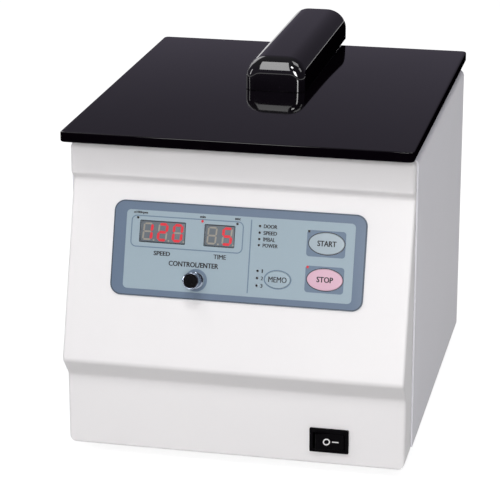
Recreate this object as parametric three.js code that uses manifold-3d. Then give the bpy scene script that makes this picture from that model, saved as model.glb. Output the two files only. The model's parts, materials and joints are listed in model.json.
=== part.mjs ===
// Bench-top hematocrit centrifuge, in millimetres, +Z up.
// x runs to the right, y back from the front edge of the lid, z up from the bench.
import * as THREE from 'three';
import { mergeVertices } from 'three/addons/utils/BufferGeometryUtils.js';
import Module from 'manifold-3d';

const wasm = await Module();
wasm.setup();

// Clearances, shared by every piece
const gap = 0.3; // between two pieces that touch
const overrun = 1; // how far a cut runs past the face that it opens
const embed = 0.8; // how far one form runs into the form that it is joined to

// Lid: a flat glossy plate that is as wide as the machine
const lidWidth = 250;
const lidRearOverhang = 4.5; // past the body's rear wall
const lidThickness = 7.4;
const lidCornerRadius = 4;
const lidGap = 5; // from the deck up to the lid's underside
const linerClearance = 2.5; // from the liner's edge to the bowl's wall
const linerThickness = 2.2;

// Handle: a bar that lies along the lid and runs past its rear edge to the hinge
const handleWidth = 45.6;
const handleHeight = 25;
const handleLength = 184;
const handleOverhang = 26; // how far it runs past the lid's rear edge
const handleTopRadius = 15;
const handleEndRadius = 9;
const handleSideRadius = 5.5;
const handleWall = 3;
const handleBossRadius = 5;

// Body cover: deck, two sides and rear wall in one shell
const bodyWidth = 249.2;
const bodyDepth = 265;
const bodyHeight = 216.1;
const bodyWall = 2.5;
const bodyClearance = 14; // from the bench up to the body's lower edge
const seamSetback = 28.5; // the shell's front edge, behind the lid's front edge
const deckSideRadius = 5;
const deckRearRadius = 8;
const rearCornerRadius = 6;
const bodyLipWidth = 12;

// Front cover: lower strip, bulge, inclined panel, notch and top band
const coverWidth = 246.8;
const coverWall = 3;
const coverDrop = 6; // how far it reaches below the body cover
const stripHeight = 53.5;
const bulgeReach = 13;
const bulgeRise = 15.2;
const inclineReach = 39.5;
const notchReach = 6;
const notchRise = 5;
const bandHeight = 23.1;
const bandRadius = 5;
const coverFootRadius = 6;
const tongueLength = 6;
const tongueWall = 1.4;

// Membrane panel on the incline, with its windows, keys and lamps
const panelWidth = 182.2;
const panelHeight = 67.7;
const panelThickness = 1;
const panelCornerRadius = 8;
const panelFromTop = 13.7; // down the incline from its upper edge
const speedWindowWidth = 32.8;
const timeWindowWidth = 21.6;
const windowHeight = 15.1;
const keyRadiusX = 12.45;
const keyRadiusY = 7.35;
const memoRadiusX = 8.9;
const memoRadiusY = 5.8;
const keyThickness = 1.2;
const keyTravel = 0.5;
const keyStemRadius = 2.4;
// Places on the panel, from its centre, as shares of its width and height
const speedWindowShares = [-0.302, 0.183];
const timeWindowShares = [-0.075, 0.183];
const knobShares = [-0.157, -0.294];
const startKeyShares = [0.347, 0.179];
const stopKeyShares = [0.348, -0.194];
const memoKeyShares = [0.164, -0.227];

// Control board behind the panel, with its encoder and key switches
const boardDepth = 12.4; // from the incline's face to the board's front face
const boardThickness = 1.6;
const boardWidth = 170;
const boardHeight = 58;
const boardBossRadius = 3;
const boardBossShares = [[-0.46, -0.4], [0.46, -0.4], [-0.46, 0.42], [0.46, 0.42]];
const switchSide = 6;
const switchHeight = 7.6;
const encoderWidth = 12.4;
const encoderBushRadius = 4.2;
const encoderBushReach = 2.6; // how far the bush stands out of the incline
const encoderShaftRadius = 2.9;
const encoderFloor = 1.2;
const plungerHeight = 1.4;
const plungerTravel = 0.5;
const knobRadius = 5;
const knobRimRadius = 5.9;
const knobRimHeight = 3.4;
const knobReach = 17; // from the panel's face to the knob's front
const knobFaceWall = 2.4;

// Power rocker in the lower strip
const rockerCentreX = 69.1;
const rockerCentreRise = 18.5; // above the front cover's lower edge
const bezelWidth = 28.2;
const bezelHeight = 18;
const bezelThickness = 2;
const switchBodyWidth = 26;
const switchBodyHeight = 15;
const switchBodyDepth = 22;
const rockerWidth = 20.8;
const rockerHeight = 12;
const rockerWellMargin = 1.2; // room that the rocker's ends need when it turns
const rockerPivotDepth = 5;
const rockerProud = 0.6;
const rockerBackReach = 4;
const rockerTiltDegrees = 8;
const terminalWidth = 4.8;
const terminalThickness = 0.8;
const terminalLength = 9;

// Rotor, its cover and its knob
const rotorAxisOffset = 4; // behind the middle of the body
const rotorThickness = 9;
const rotorDrop = 25.1; // from the deck down to the rotor's tray
const rimWidth = 3;
const rimHeight = 4;
const tubeCount = 24;
const tubeSlotSetback = 3.3; // from the hub out to a tube slot's inner end
const tubeSlotWidth = 2.4;
const tubeSlotDepth = 2.4;
const sealWidth = 2.4;
const hubRadius = 14;
const hubDrop = 16; // how far the hub reaches below the tray
const spindleRadius = 5;
const spindleSeatRadius = 8;
const spindleSeatHeight = 4;
const studRadius = 4;
const rotorCoverThickness = 1.6;
const rotorCoverBossRadius = 26;
const rotorCoverBossRise = 2;
const rotorKnobRadius = 15;
const rotorKnobHeight = 14;
const rotorKnobTop = 3; // metal left above the stud's bore
const rotorKnobChamfer = 1.5;
const rotorKnobFlutes = 12;
const fluteRadius = 2;

// Chamber bowl and gasket
const chamberSideRoom = 13.6; // from the bowl's flange to the body's side
const chamberEndRoom = 21.5; // from the bowl's flange to the body's ends, on average
const bowlClearance = 6.5; // from the rotor's rim to the bowl's wall
const bowlWall = 1.2;
const bowlDepth = 62;
const bowlFilletRadius = 12;
const bowlFlangeWidth = 5.3;
const bowlMouthClearance = 0.5;
const gasketWidth = 5;
const gasketInset = 0.8; // the gasket's inner edge, outside the bowl's wall face
const gasketChamfer = 0.8;

// Motor and what carries it
const plateThickness = 1.8; // base plate
const baseFlangeHeight = 14;
const postRadius = 6;
const postHeight = 38;
const postRingRadius = 58;
const damperRadius = 8;
const damperHeight = 12;
const motorPlateThickness = 3;
const motorPlateMargin = 12;
const motorRadius = 45;
const motorWall = 3;
const bearingRadius = 14;
const bearingHeight = 8;
const statorWall = 14;
const armatureGap = 1;
const windingMargin = 5;
const bootWall = 4;
const bootHoleRadius = 9.5;
const bootHeight = 14;

// Feet
const footRadius = 11;
const footTopRadius = 9;
const footInset = 30;

// Hinge behind the rear wall
const hingeReach = 16.5; // from the rear wall back to the pin's axis
const hingeRise = 0.9; // from the deck up to the pin's axis
const hingePinRadius = 2.5;
const hingePinHeadRadius = 4;
const hingePinHead = 1.5;
const knuckleRadius = 6;
const knuckleWidth = 25.4;
const armThickness = 2.2;
const armNeck = 6;
const earRadius = 7;
const earThickness = 3;
const leafWidth = 44;
const leafHeight = 22;
const leafThickness = 2.5;
const leafDrop = 9; // from the deck down to the leaf's upper edge

// Lid striker, lock and door switch
const strikerSetback = 45;
const strikerWidth = 10;
const strikerThickness = 2;
const strikerReach = 18; // below the deck
const strikerFootWidth = 18;
const strikerFootThickness = 1.6;
const strikerWindowWidth = 6;
const strikerWindowHeight = 6;
const strikerWindowRise = 3;
const strikerSlotMargin = 2;
const boltRadius = 2;
const boltLength = 22;
const boltStandoff = 1.4;
const solenoidWidth = 15;
const solenoidHeight = 15;
const solenoidLength = 28;
const solenoidStandoff = 8;
const lockPlateThickness = 2;
const lockPlateWidth = 66;
const lockPlateOffset = 7;
const lockPlateDepth = 21;
const lidSwitchLength = 14;
const lidSwitchDepth = 10;
const lidSwitchHeight = 12;

// Rear panel, fan and mains inlet
const rearPanelWidth = 190;
const rearPanelHeight = 120;
const rearPanelThickness = 1.5;
const rearPanelRise = 11; // above the body's lower edge
const rearPanelMargin = 8;
const fanSide = 60;
const fanDepth = 15;
const fanBoreRadius = 28;
const fanHubRadius = 13;
const fanBladeCount = 7;
const fanBladeThickness = 1.4;
const fanBladePitchDegrees = 38;
const fanTipGap = 1.2;
const fanStrutWidth = 4;
const fanStrutDepth = 2.5;
const fanCornerRadius = 4;
const guardWire = 1.4;
const guardRingCount = 3;
const wireSides = 5;
const inletFlangeWidth = 48;
const inletFlangeHeight = 25;
const inletFlangeThickness = 3;
const inletBodyWidth = 28;
const inletBodyHeight = 20.6;
const inletBodyDepth = 17;
const inletMouthWidth = 24.4;
const inletMouthHeight = 16.6;
const inletMouthDepth = 15;
const inletCornerRadius = 5;
const inletPinWidth = 4;
const inletPinThickness = 2;
const inletPinSetback = 5.6;
const inletPinTail = 6;
const inletPinSpacing = 7;
const inletCarrierThickness = 2;
const fanCentreShares = [-0.25, 0.42];
const inletCentreShares = [0.3, 0.26];
const ventCentreShares = [0.25, 0.72];
const ventCount = 12;
const ventWidth = 2.6;
const ventHeight = 30;
const ventPitch = 6;

// Drive electronics on the base plate
const driveBoardRearRoom = 47.5; // from the board to the body's rear wall
const driveBoardRise = 12;
const driveBoardSetback = 96;
const driveBoardInset = 8;
const drivePostRadius = 3.5;
const heatSinkWidth = 34;
const heatSinkLength = 50;
const heatSinkHeight = 30;
const heatSinkFins = 6;
const heatSinkFin = 2;
const capacitorRadius = 11;
const capacitorHeight = 34;
const transformerInset = 12.1; // from the body's side wall
const transformerLength = 62;
const transformerHeight = 48;
const transformerYokeHeight = 10;
const transformerSetback = 90;
const coilMargin = 6;
const imbalanceStemThickness = 2;
const imbalanceStemWidth = 22;
const imbalanceBodyDepth = 7;
const imbalanceBodyHeight = 12;
const imbalanceLeverGap = 0.6;

// Fasteners
const screwRadius = 1.9;
const screwHeadRadius = 3.6;
const screwHeadHeight = 2;
const smallScrewRadius = 1.4;
const smallHeadRadius = 2.6;
const lidScrewLength = 14;
const armScrewDepth = 8; // of its hole in the handle
const strikerScrewDepth = 4.5; // of its hole in the lid
const lidScrewShares = [0.35, 0.837]; // of the liner's radius, behind its middle
const leafScrewShares = [0.27, 0.73]; // of the hinge leaf's height, from its upper edge
const panelScrewShares = [0.08, 0.5, 0.92]; // of the rear panel's height
const baseScrewShares = [0.12, 0.5, 0.88]; // of the body's depth

// Fineness of the round forms
const roundSteps = 40;
const innerSteps = 24; // for the pieces inside
const smallSteps = 16;
const holeSteps = 8;
const ringSteps = 24;
const filletSteps = 4;
const mergeTolerance = 1e-4;

// Heights and depths that several pieces share
const bodyBottomZ = bodyClearance;
const deckZ = bodyBottomZ + bodyHeight;
const coverBottomZ = bodyBottomZ - coverDrop;
const lidBottomZ = deckZ + lidGap;
const lidTopZ = lidBottomZ + lidThickness;
const seamY = seamSetback;
const rearY = seamY + bodyDepth;
const deckUnderZ = deckZ - bodyWall;
const bodyInnerX = bodyWidth / 2 - bodyWall;
const basePlateZ = bodyBottomZ + bodyWall + gap;
const baseTopZ = basePlateZ + plateThickness;
const hingeY = rearY + hingeReach;
const hingeZ = deckZ + hingeRise;
const trayZ = deckZ - rotorDrop;
const lidDepth = rearY + lidRearOverhang;
const rotorAxisSetback = seamY + bodyDepth / 2 + rotorAxisOffset;
const bowlFlangeRadius = Math.min(bodyWidth / 2 - chamberSideRoom, bodyDepth / 2 - chamberEndRoom);
const bowlRadius = bowlFlangeRadius - bowlFlangeWidth - bowlWall;
const rotorRadius = bowlRadius - bowlClearance;
const linerRadius = bowlRadius - linerClearance;
const bowlFloorZ = deckZ - bowlDepth;
const bowlUnderZ = bowlFloorZ - bowlWall;
const flangeZ = deckZ + gap;
const hubBottomZ = trayZ - hubDrop;
const motorTopZ = bowlUnderZ - bootHeight - 2 * gap;
const damperZ = baseTopZ + postHeight + 2 * gap;
const motorPlateZ = damperZ + damperHeight + gap;
const motorBottomZ = motorPlateZ + motorPlateThickness + gap;
const handleRearY = lidDepth + handleOverhang;
const handleFrontY = handleRearY - handleLength;
const driveBoardX1 = bodyInnerX - driveBoardInset;
const driveBoardX0 = postRingRadius + postRadius;
const driveBoardY1 = rearY - driveBoardRearRoom;
const driveBoardZ = baseTopZ + driveBoardRise;

// Turns a three.js geometry into a closed solid that can be cut and joined
function solid(geometry, matrix) {
  const bare = new THREE.BufferGeometry();
  bare.setAttribute('position', geometry.attributes.position.clone());
  if (geometry.index) bare.setIndex(geometry.index.clone());
  if (matrix) bare.applyMatrix4(matrix);
  const merged = mergeVertices(bare, mergeTolerance);
  const places = merged.attributes.position.array;
  const corners = merged.index.array;
  const faces = [];
  let volume = 0;
  const a = new THREE.Vector3();
  const b = new THREE.Vector3();
  const c = new THREE.Vector3();
  for (let i = 0; i < corners.length; i += 3) {
    const [p, q, r] = [corners[i], corners[i + 1], corners[i + 2]];
    if (p === q || q === r || r === p) continue;
    faces.push(p, q, r);
    a.fromArray(places, 3 * p);
    b.fromArray(places, 3 * q);
    c.fromArray(places, 3 * r);
    volume += a.dot(b.cross(c));
  }
  if (volume < 0) faces.reverse();
  return new wasm.Manifold(new wasm.Mesh({
    numProp: 3,
    vertProperties: new Float32Array(places),
    triVerts: new Uint32Array(faces),
  }));
}

function join(first, ...others) {
  return others.reduce((whole, other) => whole.add(other), first);
}

function cut(first, ...others) {
  return others.reduce((whole, other) => whole.subtract(other), first);
}

function meet(first, ...others) {
  return others.reduce((whole, other) => whole.intersect(other), first);
}

// Outlines: lists of [u, v] points
function arc(u, v, radius, from, to, steps) {
  const points = [];
  for (let i = 0; i <= steps; i += 1) {
    const angle = from + (to - from) * i / steps;
    points.push([u + radius * Math.cos(angle), v + radius * Math.sin(angle)]);
  }
  return points;
}

function ellipse(u, v, radiusU, radiusV, steps) {
  const points = [];
  for (let i = 0; i < steps; i += 1) {
    const angle = 2 * Math.PI * i / steps;
    points.push([u + radiusU * Math.cos(angle), v + radiusV * Math.sin(angle)]);
  }
  return points;
}

function circle(u, v, radius, steps = smallSteps) {
  return ellipse(u, v, radius, radius, steps);
}

function rectangle(u0, u1, v0, v1) {
  return [[u0, v0], [u1, v0], [u1, v1], [u0, v1]];
}

// An outline whose corners [u, v, radius] are rounded where they have a radius
function rounded(corners) {
  const points = [];
  corners.forEach(([u, v, radius = 0], i) => {
    if (!radius) {
      points.push([u, v]);
      return;
    }
    const here = new THREE.Vector2(u, v);
    const before = corners[(i + corners.length - 1) % corners.length];
    const after = corners[(i + 1) % corners.length];
    const toBefore = new THREE.Vector2(before[0], before[1]).sub(here).normalize();
    const toAfter = new THREE.Vector2(after[0], after[1]).sub(here).normalize();
    const half = Math.acos(THREE.MathUtils.clamp(toBefore.dot(toAfter), -1, 1)) / 2;
    const middle = toBefore.clone().add(toAfter).normalize();
    const centre = middle.clone().multiplyScalar(radius / Math.sin(half)).add(here);
    const start = toBefore.clone().multiplyScalar(radius / Math.tan(half)).add(here).sub(centre);
    const end = toAfter.clone().multiplyScalar(radius / Math.tan(half)).add(here).sub(centre);
    const turn = Math.atan2(start.cross(end), start.dot(end));
    points.push(...arc(centre.x, centre.y, radius, start.angle(), start.angle() + turn, filletSteps));
  });
  return points;
}

function roundedRectangle(u0, u1, v0, v1, radius) {
  return rounded(rectangle(u0, u1, v0, v1).map(([u, v]) => [u, v, radius]));
}

// A line of points moved sideways, to the right of its direction, by a distance
function inset(points, distance) {
  const normals = points.slice(1).map(([u, v], i) => {
    const along = new THREE.Vector2(u - points[i][0], v - points[i][1]).normalize();
    return new THREE.Vector2(along.y, -along.x);
  });
  return points.map(([u, v], i) => {
    const before = normals[Math.max(i - 1, 0)];
    const after = normals[Math.min(i, normals.length - 1)];
    const middle = before.clone().add(after).normalize();
    const reach = distance / middle.dot(after);
    return [u + middle.x * reach, v + middle.y * reach];
  });
}

// Where each axis of an outline's prism goes
const prismAxes = {
  x: new THREE.Matrix4().set(0, 0, 1, 0, 1, 0, 0, 0, 0, 1, 0, 0, 0, 0, 0, 1),
  y: new THREE.Matrix4().set(1, 0, 0, 0, 0, 0, 1, 0, 0, 1, 0, 0, 0, 0, 0, 1),
  z: new THREE.Matrix4(),
};

// A prism on an outline: (y, z) along x, (x, z) along y, or (x, y) along z
function prism(axis, from, to, outline, matrix) {
  const shape = new THREE.Shape(outline.map(([u, v]) => new THREE.Vector2(u, v)));
  const geometry = new THREE.ExtrudeGeometry(shape, { depth: to - from, bevelEnabled: false });
  geometry.translate(0, 0, from);
  geometry.applyMatrix4(prismAxes[axis]);
  return solid(geometry, matrix);
}

function block(x0, x1, y0, y1, z0, z1, matrix) {
  return prism('z', z0, z1, rectangle(x0, x1, y0, y1), matrix);
}

// A turned form about the z axis, from a profile of [radius, z] points
function turned(profile, steps = roundSteps, matrix) {
  const closed = profile[0][0] > 0 ? [...profile, profile[0]] : profile;
  const geometry = new THREE.LatheGeometry(closed.map(([r, z]) => new THREE.Vector2(r, z)), steps);
  geometry.rotateX(Math.PI / 2);
  return solid(geometry, matrix);
}

function tube(inner, outer, z0, z1, steps = roundSteps, matrix) {
  return turned([[inner, z0], [outer, z0], [outer, z1], [inner, z1]], steps, matrix);
}

function at(x, y, z) {
  return new THREE.Matrix4().makeTranslation(x, y, z);
}

// The outline of a small screw's hole
function screwHole(u, v) {
  return circle(u, v, smallScrewRadius + gap, holeSteps);
}

// A pan-head screw that stands up from its head
function screw(x, y, headZ) {
  const seatZ = headZ + screwHeadHeight;
  return join(
    prism('z', headZ, seatZ, circle(x, y, screwHeadRadius)),
    prism('z', seatZ - embed, seatZ + lidScrewLength, circle(x, y, screwRadius, holeSteps)),
  );
}

// Finishes
const finishes = {
  whitePlastic: { color: 0xe9e7e6, roughness: 0.45, metalness: 0 },
  greyPaint: { color: 0xc9c8cc, roughness: 0.5, metalness: 0 },
  blackGloss: { color: 0x1c161e, roughness: 0.08, metalness: 0 },
  blackPlastic: { color: 0x101012, roughness: 0.4, metalness: 0 },
  panelBlue: { color: 0x8fa1af, roughness: 0.45, metalness: 0 },
  startKey: { color: 0xb9c6cd, roughness: 0.4, metalness: 0 },
  stopKey: { color: 0xe8b9cc, roughness: 0.4, metalness: 0 },
  display: { color: 0x5a6269, roughness: 0.3, metalness: 0 },
  chrome: { color: 0xd8dade, roughness: 0.12, metalness: 1 },
  stainless: { color: 0xb9bcc0, roughness: 0.3, metalness: 1 },
  aluminium: { color: 0xc3c6ca, roughness: 0.35, metalness: 1 },
  steel: { color: 0x9a9da1, roughness: 0.4, metalness: 1 },
  rubber: { color: 0x17171a, roughness: 0.85, metalness: 0 },
  board: { color: 0x1f5a34, roughness: 0.55, metalness: 0 },
  copper: { color: 0xa5602f, roughness: 0.4, metalness: 1 },
};

function addPart(group, name, finish, shape) {
  const { vertProperties, triVerts, numProp } = shape.getMesh();
  const places = new Float32Array(vertProperties.length / numProp * 3);
  for (let i = 0; i < places.length / 3; i += 1) {
    places.set(vertProperties.subarray(i * numProp, i * numProp + 3), 3 * i);
  }
  const geometry = new THREE.BufferGeometry();
  geometry.setAttribute('position', new THREE.BufferAttribute(places, 3));
  geometry.setIndex(new THREE.BufferAttribute(new Uint32Array(triVerts), 1));
  geometry.computeVertexNormals();
  const mesh = new THREE.Mesh(geometry, new THREE.MeshStandardMaterial(finishes[finish]));
  mesh.name = name;
  group.add(mesh);
}

const machine = new THREE.Group();

// The incline's frame: x to the right, y up along the incline, z out of it
const inclineBottomZ = coverBottomZ + stripHeight + bulgeRise;
const inclineTopZ = deckZ - bandHeight - notchRise;
const inclineTopY = inclineReach - bulgeReach;
const incline = new THREE.Group();
incline.position.set(0, inclineTopY, inclineTopZ);
incline.rotation.x = Math.atan2(inclineTopZ - inclineBottomZ, inclineReach);
incline.updateMatrixWorld(true);
machine.add(incline);
const onIncline = incline.matrixWorld;
const panelMiddle = -panelFromTop - panelHeight / 2;

function panelPlace([shareX, shareY]) {
  return [shareX * panelWidth, panelMiddle + shareY * panelHeight];
}

// The rotor's frame stands on its axis
const spindle = new THREE.Group();
spindle.position.set(0, rotorAxisSetback, 0);
machine.add(spindle);
const onSpindle = at(0, rotorAxisSetback, 0);

// Places on the rear panel, as shares of its size
const rearPanelZ = bodyBottomZ + rearPanelRise;

function rearPlace([shareX, shareZ]) {
  return [shareX * rearPanelWidth, rearPanelZ + shareZ * rearPanelHeight];
}

const [fanX, fanZ] = rearPlace(fanCentreShares);
const [inletX, inletZ] = rearPlace(inletCentreShares);
const [ventX, ventZ] = rearPlace(ventCentreShares);
const rearPanelY = rearY + gap;

// Three posts carry the motor, one of them behind it
const motorPostPlaces = [0, 1, 2].map((i) => {
  const angle = Math.PI / 2 + 2 * Math.PI * i / 3;
  return [postRingRadius * Math.cos(angle), postRingRadius * Math.sin(angle)];
});

// Places of the screws
const lidScrewPlaces = lidScrewShares.map((share) => [0, rotorAxisSetback + share * linerRadius]);
const armScrewY = hingeY + knuckleRadius + smallHeadRadius / 2;
const armScrewX = knuckleWidth / 4;
const leafTopZ = deckZ - leafDrop;
const leafScrewPlaces = [-1, 1].flatMap((side) => leafScrewShares.map(
  (share) => [side * knuckleWidth / 3, leafTopZ - share * leafHeight]));
const panelScrewPlaces = [-1, 1].flatMap((side) => panelScrewShares.map(
  (share) => [side * (rearPanelWidth - rearPanelMargin) / 2, rearPanelZ + share * rearPanelHeight]));
const fanScrewPlaces = [-1, 1].flatMap((side) => [-1, 1].map(
  (up) => [fanX + side * (fanSide / 2 - fanCornerRadius), fanZ + up * (fanSide / 2 - fanCornerRadius)]));
const baseScrewPlaces = [-1, 1].flatMap((side) => baseScrewShares.map(
  (share) => [side * (bodyInnerX - bodyLipWidth / 2), seamY + share * bodyDepth]));

function makeFrontCover() {
  const half = coverWidth / 2;
  const bandY = inclineTopY - notchReach;
  const backY = seamY - gap;
  const front = [
    [0, coverBottomZ],
    [0, coverBottomZ + stripHeight],
    [-bulgeReach, inclineBottomZ],
    [inclineTopY, inclineTopZ],
    [bandY, inclineTopZ + notchRise],
    [bandY, deckZ],
  ];
  const side = rounded([
    ...front.slice(0, -1), [bandY, deckZ, bandRadius], [backY, deckZ], [backY, coverBottomZ],
  ]);
  const face = rounded([
    [-half, coverBottomZ, coverFootRadius], [half, coverBottomZ, coverFootRadius],
    [half, deckZ, deckSideRadius], [-half, deckZ, deckSideRadius],
  ]);
  const outer = meet(
    prism('x', -half, half, side),
    prism('y', -bulgeReach - overrun, backY + overrun, face),
  );
  const tongueX = bodyInnerX - gap;
  const tongueTopZ = deckUnderZ - gap;
  const tongueEndY = backY + tongueLength;
  const tongueFace = rounded([
    [-tongueX, bodyBottomZ + gap], [tongueX, bodyBottomZ + gap],
    [tongueX, tongueTopZ, deckSideRadius - bodyWall], [-tongueX, tongueTopZ, deckSideRadius - bodyWall],
  ]);
  const tongue = prism('y', backY - embed, tongueEndY, tongueFace);
  const inner = inset(front, coverWall);
  inner[0][1] = coverBottomZ + coverWall;
  inner[inner.length - 1][1] = tongueTopZ - tongueWall;
  const cavityX = tongueX - tongueWall;
  const cavity = prism('x', -cavityX, cavityX, [
    ...inner,
    [tongueEndY + overrun, tongueTopZ - tongueWall],
    [tongueEndY + overrun, coverBottomZ + coverWall],
  ]);
  const bezelZ = coverBottomZ + rockerCentreRise;
  const rockerCut = block(
    rockerCentreX - switchBodyWidth / 2 - gap, rockerCentreX + switchBodyWidth / 2 + gap,
    -overrun, coverWall + overrun,
    bezelZ - switchBodyHeight / 2 - gap, bezelZ + switchBodyHeight / 2 + gap);
  const cuts = [[speedWindowShares, speedWindowWidth], [timeWindowShares, timeWindowWidth]].map(
    ([shares, width]) => {
      const [x, y] = panelPlace(shares);
      return block(x - width / 2, x + width / 2, y - windowHeight / 2, y + windowHeight / 2,
        -coverWall - overrun, overrun, onIncline);
    });
  for (const shares of [startKeyShares, stopKeyShares, memoKeyShares]) {
    cuts.push(prism('z', -coverWall - overrun, overrun,
      circle(...panelPlace(shares), keyStemRadius + 2 * gap), onIncline));
  }
  cuts.push(prism('z', -coverWall - overrun, overrun,
    circle(...panelPlace(knobShares), encoderBushRadius + gap), onIncline));
  const bosses = boardBossShares.map(([shareX, shareY]) => {
    const [x, y] = [shareX * boardWidth, panelMiddle + shareY * boardHeight];
    return prism('z', gap - boardDepth, embed - coverWall,
      circle(x, y, boardBossRadius, holeSteps), onIncline);
  });
  addPart(machine, 'front_cover', 'whitePlastic',
    join(cut(join(outer, tongue), cavity, rockerCut, ...cuts), ...bosses));
}

function makeBodyCover() {
  const half = bodyWidth / 2;
  function envelope(inward, frontY, bottomZ) {
    const top = deckZ - inward;
    const back = rearY - inward;
    const x = half - inward;
    return meet(
      prism('y', frontY, back, rounded([
        [-x, bottomZ], [x, bottomZ],
        [x, top, deckSideRadius - inward], [-x, top, deckSideRadius - inward],
      ])),
      prism('x', -x, x, rounded([
        [frontY, bottomZ], [back, bottomZ], [back, top, deckRearRadius - inward], [frontY, top],
      ])),
      prism('z', bottomZ, top, rounded([
        [-x, frontY], [x, frontY],
        [x, back, rearCornerRadius - inward], [-x, back, rearCornerRadius - inward],
      ])),
    );
  }
  const shell = cut(
    envelope(0, seamY, bodyBottomZ),
    envelope(bodyWall, seamY - overrun, bodyBottomZ - overrun),
  );
  const lips = [-1, 1].map((side) => {
    const inner = side * (bodyInnerX - bodyLipWidth);
    const outer = side * (bodyInnerX + embed);
    return block(Math.min(inner, outer), Math.max(inner, outer),
      seamY + bodyLipWidth, rearY - bodyLipWidth, bodyBottomZ, bodyBottomZ + bodyWall);
  });
  const mouth = prism('z', deckUnderZ - overrun, deckZ + overrun,
    circle(0, rotorAxisSetback, bowlRadius + bowlWall + bowlMouthClearance, roundSteps));
  const slotX = strikerThickness / 2 + strikerSlotMargin;
  const slotY = strikerWidth / 2 + strikerSlotMargin;
  const strikerSlot = block(
    -slotX, slotX, strikerSetback - slotY, strikerSetback + slotY,
    deckUnderZ - overrun, deckZ + overrun);
  const rearOpening = block(
    rearPanelMargin - rearPanelWidth / 2, rearPanelWidth / 2 - rearPanelMargin,
    rearY - bodyWall - overrun, rearY + overrun,
    rearPanelZ + rearPanelMargin / 2, rearPanelZ + rearPanelHeight - rearPanelMargin / 2);
  const rearHoles = [...leafScrewPlaces, ...panelScrewPlaces].map(([x, z]) => prism(
    'y', rearY - bodyWall - overrun, rearY + overrun, screwHole(x, z)));
  const lipHoles = baseScrewPlaces.map(([x, y]) => prism(
    'z', bodyBottomZ - overrun, bodyBottomZ + bodyWall + overrun, screwHole(x, y)));
  addPart(machine, 'body_cover', 'greyPaint',
    cut(join(shell, ...lips), mouth, strikerSlot, rearOpening, ...rearHoles, ...lipHoles));
}

function makeBase() {
  const halfWidth = bodyInnerX - gap - tongueWall - gap;
  const frontY = switchBodyDepth + coverWall;
  const backY = rearY - bodyWall - gap;
  const plate = prism('z', basePlateZ, baseTopZ, rounded([
    [-halfWidth, frontY], [halfWidth, frontY],
    [halfWidth, backY, rearCornerRadius], [-halfWidth, backY, rearCornerRadius],
  ]));
  const flanges = [-1, 1].map((side) => {
    const outer = side * halfWidth;
    const inner = side * (halfWidth - plateThickness);
    return block(Math.min(inner, outer), Math.max(inner, outer),
      seamY + bodyLipWidth, rearY - bodyLipWidth, basePlateZ, baseTopZ + baseFlangeHeight);
  });
  const slots = [-2, -1, 0, 1, 2].map((i) => {
    const y = rotorAxisSetback + i * ventPitch * 2;
    return block(-fanSide / 2, fanSide / 2, y - ventWidth / 2, y + ventWidth / 2,
      basePlateZ - overrun, baseTopZ + overrun);
  });
  const holes = baseScrewPlaces.map(([x, y]) => prism(
    'z', basePlateZ - overrun, baseTopZ + overrun, screwHole(x, y)));
  const inward = 2 * drivePostRadius;
  const posts = [driveBoardX0 + inward, driveBoardX1 - inward].flatMap(
    (x) => [driveBoardSetback + inward, driveBoardY1 - inward].map((y) => prism(
      'z', baseTopZ - embed, driveBoardZ - gap, circle(x, y, drivePostRadius, holeSteps))));
  const motorPosts = motorPostPlaces.map(([x, y]) => prism(
    'z', baseTopZ - embed, damperZ - gap, circle(x, y, postRadius), onSpindle));
  addPart(machine, 'base_plate', 'steel',
    cut(join(plate, ...flanges, ...posts, ...motorPosts), ...slots, ...holes));

  const footTopZ = basePlateZ - gap;
  const footX = bodyWidth / 2 - footInset;
  for (const [name, side, y] of [
    ['foot_front_left', -1, seamY + footInset / 2], ['foot_front_right', 1, seamY + footInset / 2],
    ['foot_rear_left', -1, rearY - footInset], ['foot_rear_right', 1, rearY - footInset],
  ]) {
    addPart(machine, name, 'rubber', turned([
      [0, 0], [footRadius - overrun, 0], [footRadius, overrun], [footTopRadius, footTopZ], [0, footTopZ],
    ], innerSteps, at(side * footX, y, 0)));
  }
}

function makeBowl() {
  const outer = bowlRadius + bowlWall;
  const outerFillet = bowlFilletRadius + bowlWall;
  addPart(spindle, 'chamber_bowl', 'stainless', turned([
    [bootHoleRadius, bowlUnderZ],
    ...arc(outer - outerFillet, bowlUnderZ + outerFillet, outerFillet, -Math.PI / 2, 0, filletSteps),
    [outer, flangeZ],
    [bowlFlangeRadius, flangeZ],
    [bowlFlangeRadius, flangeZ + bowlWall],
    [bowlRadius, flangeZ + bowlWall],
    ...arc(bowlRadius - bowlFilletRadius, bowlFloorZ + bowlFilletRadius, bowlFilletRadius,
      0, -Math.PI / 2, filletSteps),
    [bootHoleRadius, bowlFloorZ],
  ]));
  const inner = bowlRadius + gasketInset;
  const bottom = flangeZ + bowlWall + gap;
  const top = lidBottomZ - gap;
  addPart(spindle, 'chamber_gasket', 'rubber', turned([
    [inner, bottom], [inner + gasketWidth, bottom],
    [inner + gasketWidth, top - gasketChamfer], [inner + gasketWidth - gasketChamfer, top],
    [inner + gasketChamfer, top], [inner, top - gasketChamfer],
  ]));
  addPart(spindle, 'shaft_boot', 'rubber', turned([
    [spindleRadius + bootWall - embed, motorTopZ + gap],
    [spindleRadius + 2 * bootWall, motorTopZ + gap],
    [spindleRadius + 2 * bootWall, bowlUnderZ - gap],
    [spindleRadius + bootWall - embed, bowlUnderZ - gap],
  ], innerSteps));
}

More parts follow.
